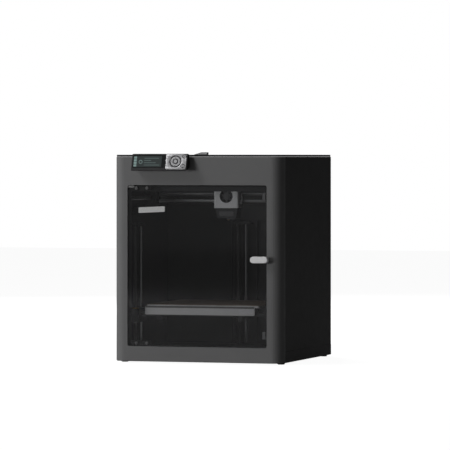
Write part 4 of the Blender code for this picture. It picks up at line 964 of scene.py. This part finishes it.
def make_extruder_top(x):
    """What stands behind the cover: motor cap, tube coupler, board, sockets and belt clamps."""
    motor_low, motor_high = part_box("extruder_motor")
    centre = ((motor_low.x + motor_high.x) / 2, (motor_low.z + motor_high.z) / 2)
    rear, top = motor_high.y, motor_high.z
    cap = add_turned(bmesh.new(), [(0, rear), (0.0115, rear), (0.0112, rear + 0.0008),
                                   (0.0040, rear + 0.0011), (0, rear + 0.0011)], centre, "Y",
                     ROUND_STEPS)
    piece("extruder_motor_cap", cap, "aluminium", "toolhead")
    profile = [(0.0022, top - 0.0012), (0.0046, top - 0.0012), (0.0046, top + 0.0040),
               (0.0038, top + 0.0048), (0.0038, top + 0.0066), (0.0030, top + 0.0074),
               (0.0022, top + 0.0074)]
    coupler = add_turned(bmesh.new(), profile, (x, at_depth(TUBE_DEPTH)), closed=True)
    piece("tube_coupler", coupler, "motor_black", "toolhead")
    board_x = span_at(x, -0.0225, -0.0190)
    board = new_bar(at_depths(0.1925, 0.2100), (0.3815, 0.4060), board_x, "X", 0.0012, 0.0002)
    piece("head_board", board, "circuit", "toolhead")
    sockets = bmesh.new()
    for low in (0.3962, 0.4011):
        add_bar(sockets, at_depths(0.1960, 0.2050), (low, low + 0.0040),
                span_at(board_x[0], -0.0040, -0.0001), "X", 0.0006, 0.0004)
    piece("head_board_sockets", sockets, "connector", "toolhead")
    clamps = bmesh.new()
    for side in SIDES:
        add_bar(clamps, around(x + side * 0.0190, 0.0035), (0.3803, 0.3925),
                at_depths(0.2080, 0.2128), "Y", 0.0010, 0.0004)
    piece("belt_clamps", clamps, "motor_black", "toolhead")


def make_guide_tube():
    """The filament tube and the head's cable, each in two stretches that meet at the gantry."""
    head = middle_of("toolhead_fan_rotor").x
    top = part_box("extruder_motor")[1].z + GAP
    rear_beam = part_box("filament_tube")[1].y
    tube = [(head, TUBE_DEPTH, top), (head, TUBE_DEPTH, 0.430), (0.0120, 0.2150, 0.4405),
            (0.0060, 0.2450, 0.4455), (-0.0060, 0.2800, 0.4470), (-0.0190, 0.3150, 0.4460),
            (-0.0280, 0.3450, 0.4400), (TUBE_EXIT[0], 0.3640, 0.4320),
            (TUBE_EXIT[0], rear_beam - FRONT, TUBE_EXIT[1])]
    wire = [(head - 0.0255, 0.2005, 0.4020), (head - 0.0300, 0.2010, 0.4120),
            (head - 0.0280, 0.2080, 0.4270), (-0.0100, 0.2250, 0.4350),
            (-0.0100, 0.2550, 0.4400), (-0.0200, 0.2900, 0.4400), (-0.0330, 0.3250, 0.4380),
            (-0.0420, 0.3500, 0.4320), (CABLE_EXIT[0], rear_beam - FRONT - 0.0140, 0.4230),
            (CABLE_EXIT[0], rear_beam - FRONT, CABLE_EXIT[1])]
    split, head_end = at_depth(0.250), at_depth(0.2125)
    for name, route, radius, finish in (("guide_tube", tube, 0.0020, "tube_white"),
                                        ("head_cable", wire, 0.0026, "braid")):
        points = smooth_path([(x, at_depth(depth), z) for x, depth, z in route], 14)
        before = [point for point in points if point.y <= split]
        after = [point for point in points if point.y > split]
        meet = (before[-1] + after[0]) / 2
        head_part = piece(name + "_head", new_tube(before + [meet], radius), finish)
        rear_part = piece(name + "_rear", new_tube([meet] + after, radius), finish)
        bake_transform(head_part)
        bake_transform(rear_part)
        if name == "guide_tube":
            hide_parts("filament_tube")
    grommets = bmesh.new()
    for spot, radius in ((TUBE_EXIT, 0.0024), (CABLE_EXIT, 0.0030)):
        add_ring(grommets, spot, radius, radius + 0.0026, span_at(rear_beam, -0.0034, 0.0), "Y",
                 0.0006, SMALL_STEPS)
    piece("rear_beam_grommets", grommets, "seal", "root")


# ---- Rear bay and rear panel -----------------------------
def make_main_board():
    """The main board with its chips, sockets and capacitors, and the wires that leave it."""
    face = at_depth(0.3560)
    board = new_bar((-0.058, 0.056), (0.172, 0.300), (face - 0.0016, face), "Y", 0.003, 0.0002)
    piece("main_board", board, "circuit", "root")
    chips, sockets, cans, wires = bmesh.new(), bmesh.new(), bmesh.new(), bmesh.new()
    for x in (-0.042, -0.012, 0.018):
        for z in (0.205, 0.239):
            add_bar(chips, around(x, 0.006), around(z, 0.006), (face, face + 0.0014), "Y", 0.0004,
                    0.0002)
    for column in range(7):
        x = -0.050 + column * 0.0155
        for z in (0.1760, 0.2890):
            add_bar(sockets, (x, x + 0.0110), (z, z + 0.0070), (face, face + 0.0065), "Y", 0.0005,
                    0.0004)
    profile = [(0, face), (0.0040, face), (0.0040, face + 0.0090), (0.0036, face + 0.0096),
               (0, face + 0.0096)]
    for column in range(4):
        add_turned(cans, profile, (-0.036 + column * 0.022, 0.2680), "Y")
    piece("board_chips", chips, "motor_black", "root")
    piece("board_sockets", sockets, "connector", "root")
    piece("board_capacitors", cans, "aluminium", "root")
    routes = [((-0.045, 0.004, 0.176), (-0.045, 0.006, 0.160), (-0.070, 0.010, 0.152),
               (-0.090, 0.008, 0.1475)),
              ((0.044, 0.004, 0.176), (0.046, 0.008, 0.140), (0.056, 0.010, 0.100),
               (0.060, 0.008, 0.066)),
              ((0.046, 0.004, 0.292), (0.060, 0.006, 0.330), (0.120, 0.004, 0.345),
               (0.1485, 0.004, 0.352)),
              ((-0.046, 0.004, 0.292), (-0.060, 0.006, 0.330), (-0.120, 0.004, 0.345),
               (-0.1485, 0.004, 0.352)),
              ((0.122, 0.012, 0.073), (0.100, 0.010, 0.110), (0.020, 0.018, 0.150),
               (-0.060, 0.020, 0.148))]
    for route in routes:
        path = smooth_path([(x, face + behind, z) for x, behind, z in route], 6)
        add_tube(wires, path, 0.0016, 8)
    piece("rear_bay_wiring", wires, "seal", "root")


def make_rear_trim():
    """Screws round the rear panel, the filament port, ribs over the supply and inlet bezels."""
    low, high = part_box("rear_panel")
    inset = 0.0065
    middle = (low.z + high.z) / 2
    places = [(x, REAR, z) for x in (low.x + inset, 0.0, high.x - inset)
              for z in (low.z + inset, middle, high.z - inset) if (x, z) != (0.0, middle)]
    screws("rear_panel_screws", places, (0, 1, 0), 0.0011)
    port = new_ring(TUBE_EXIT, 0.0022, 0.0068, (REAR, REAR + 0.0022), "Y", 0.0005)
    piece("filament_port", port, "motor_black", "root")
    ribs = bmesh.new()
    for row in range(11):
        z = 0.052 + row * 0.0085
        add_bar(ribs, (-0.158, -0.052), (z, z + 0.0034), (REAR, REAR + 0.0010), "Y", 0.0016,
                0.0004, 4)
    piece("rear_vent_ribs", ribs, "shell_black", "root")
    bezels = bmesh.new()
    for x in ((0.108, 0.136), (0.144, 0.158)):
        outer = rounded((x[0] - 0.0024, x[1] + 0.0024), (0.0576, 0.0844), 0.0020)
        inner = rounded((x[0] - 0.0002, x[1] + 0.0002), (0.0598, 0.0822), 0.0010)
        rings = [add_path(bezels, path, REAR + rise, "Y") for path, rise in
                 ((inner, 0.0), (outer, 0.0), (outer, 0.0006), (inner, 0.0010))]
        join_rings(bezels, rings + rings[:1], ends=False)
    piece("inlet_bezels", bezels, "inner_black", "root")


# ---- Stage -----------------------------------------------
WHITE = (1.0, 1.0, 1.0, 1.0)
FLOOR_REACH = 9.0
AIM_HEIGHT = 0.23


def make_floor():
    bm = bmesh.new()
    bm.faces.new(add_path(bm, rounded(*[around(0.0, FLOOR_REACH)] * 2, 0), 0.0))
    mesh = bpy.data.meshes.new("floor")
    bm.to_mesh(mesh)
    bm.free()
    material, tree, shader, coords = new_material("pale_floor")
    tint = blend_colours(tree, noise(tree, coords, 3.0), (0.12, 0.12, 0.12), (0.14, 0.14, 0.14))
    seen = node(tree, "LightPath").outputs["Is Camera Ray"]
    feed(tree, shader, Base_Color=tint, Roughness=0.9, Emission_Color=WHITE,
         Emission_Strength=spread(tree, seen, 0.10, 0.95, 0.0, 1.0))
    mesh.materials.append(material)
    floor = bpy.data.objects.new("floor", mesh)
    bpy.context.scene.collection.objects.link(floor)


def softbox(name, side, height, distance, size, power, mirrored=True):
    """A square light aimed at the printer, side degrees right of the front and height up."""
    light = bpy.data.lights.new(name, "AREA")
    light.shape = "SQUARE"
    light.size = size
    light.energy = power
    lamp = bpy.data.objects.new(name, light)
    turn, rise = math.radians(side), math.radians(height)
    away = Vector((math.sin(turn) * math.cos(rise), -math.cos(turn) * math.cos(rise),
                   math.sin(rise)))
    lamp.location = Vector((0.0, 0.0, AIM_HEIGHT)) + away * distance
    lamp.rotation_mode = "QUATERNION"
    lamp.rotation_quaternion = (-away).to_track_quat("-Z", "Y")
    lamp.visible_camera = False
    lamp.visible_glossy = mirrored
    bpy.context.scene.collection.objects.link(lamp)


def make_lights():
    softbox("key_light", -54, 40, 3.6, 1.0, 46)
    softbox("low_light", -35, 1, 4.0, 1.1, 130, mirrored=False)
    softbox("left_light", -84, 8, 3.2, 1.2, 14)
    softbox("top_light", 0, 88, 3.0, 1.6, 11)
    softbox("rear_light", -150, 25, 3.2, 1.6, 110, mirrored=False)
    softbox("right_light", 100, 20, 3.2, 1.4, 0.9)


def make_world():
    """White to the camera. As light it is dim all round, and brighter at the front left."""
    world = bpy.data.worlds.new("studio")
    bpy.context.scene.world = world
    world.use_nodes = True
    tree = world.node_tree
    seen = feed(tree, tree.nodes["Background"], Color=WHITE, Strength=1.0)
    outward = node(tree, "TexCoord").outputs["Generated"]
    ahead = node(tree, "VectorMath", {"operation": "DOT_PRODUCT"}, outward, (-0.42, -0.90, 0.0))
    dim = spread(tree, ahead.outputs["Value"], 0.025, 0.17, 0.5, 0.92)
    lighting = node(tree, "Background", Color=WHITE, Strength=dim)
    show_mix(tree, "World Output", node(tree, "LightPath").outputs["Is Camera Ray"],
             lighting.outputs["Background"], seen.outputs["Background"])


def make_camera():
    """The camera stands level with the printer's top, front right, and shifts its frame down."""
    azimuth = math.radians(17.78)
    distance, axis_y, height = 7.879, at_depth(0.1945), 0.4538
    data = bpy.data.cameras.new("camera")
    data.sensor_width = 36.0
    data.lens = 280.4
    data.shift_x = 0.0023
    data.shift_y = -0.1505
    data.clip_end = 60.0
    camera = bpy.data.objects.new("camera", data)
    camera.location = (distance * math.sin(azimuth), axis_y - distance * math.cos(azimuth), height)
    camera.rotation_euler = (math.radians(90), 0.0, azimuth)
    bpy.context.scene.collection.objects.link(camera)
    bpy.context.scene.camera = camera
    bpy.context.scene.view_settings.view_transform = "Standard"


make_camera()
make_world()
make_lights()
make_floor()
dress_cad_nodes()
make_display()
make_keypad()
make_door_trim()
make_door_seal()
make_lid_trim()
make_chamber_light()
make_back_wall_trim()
make_z_caps()
for place in Z_PLACES:
    make_lead_screw(place)
make_bed_trim()
make_gantry()
make_front_idlers()
make_motor_pulleys()
make_toolhead()
make_guide_tube()
make_main_board()
make_rear_trim()
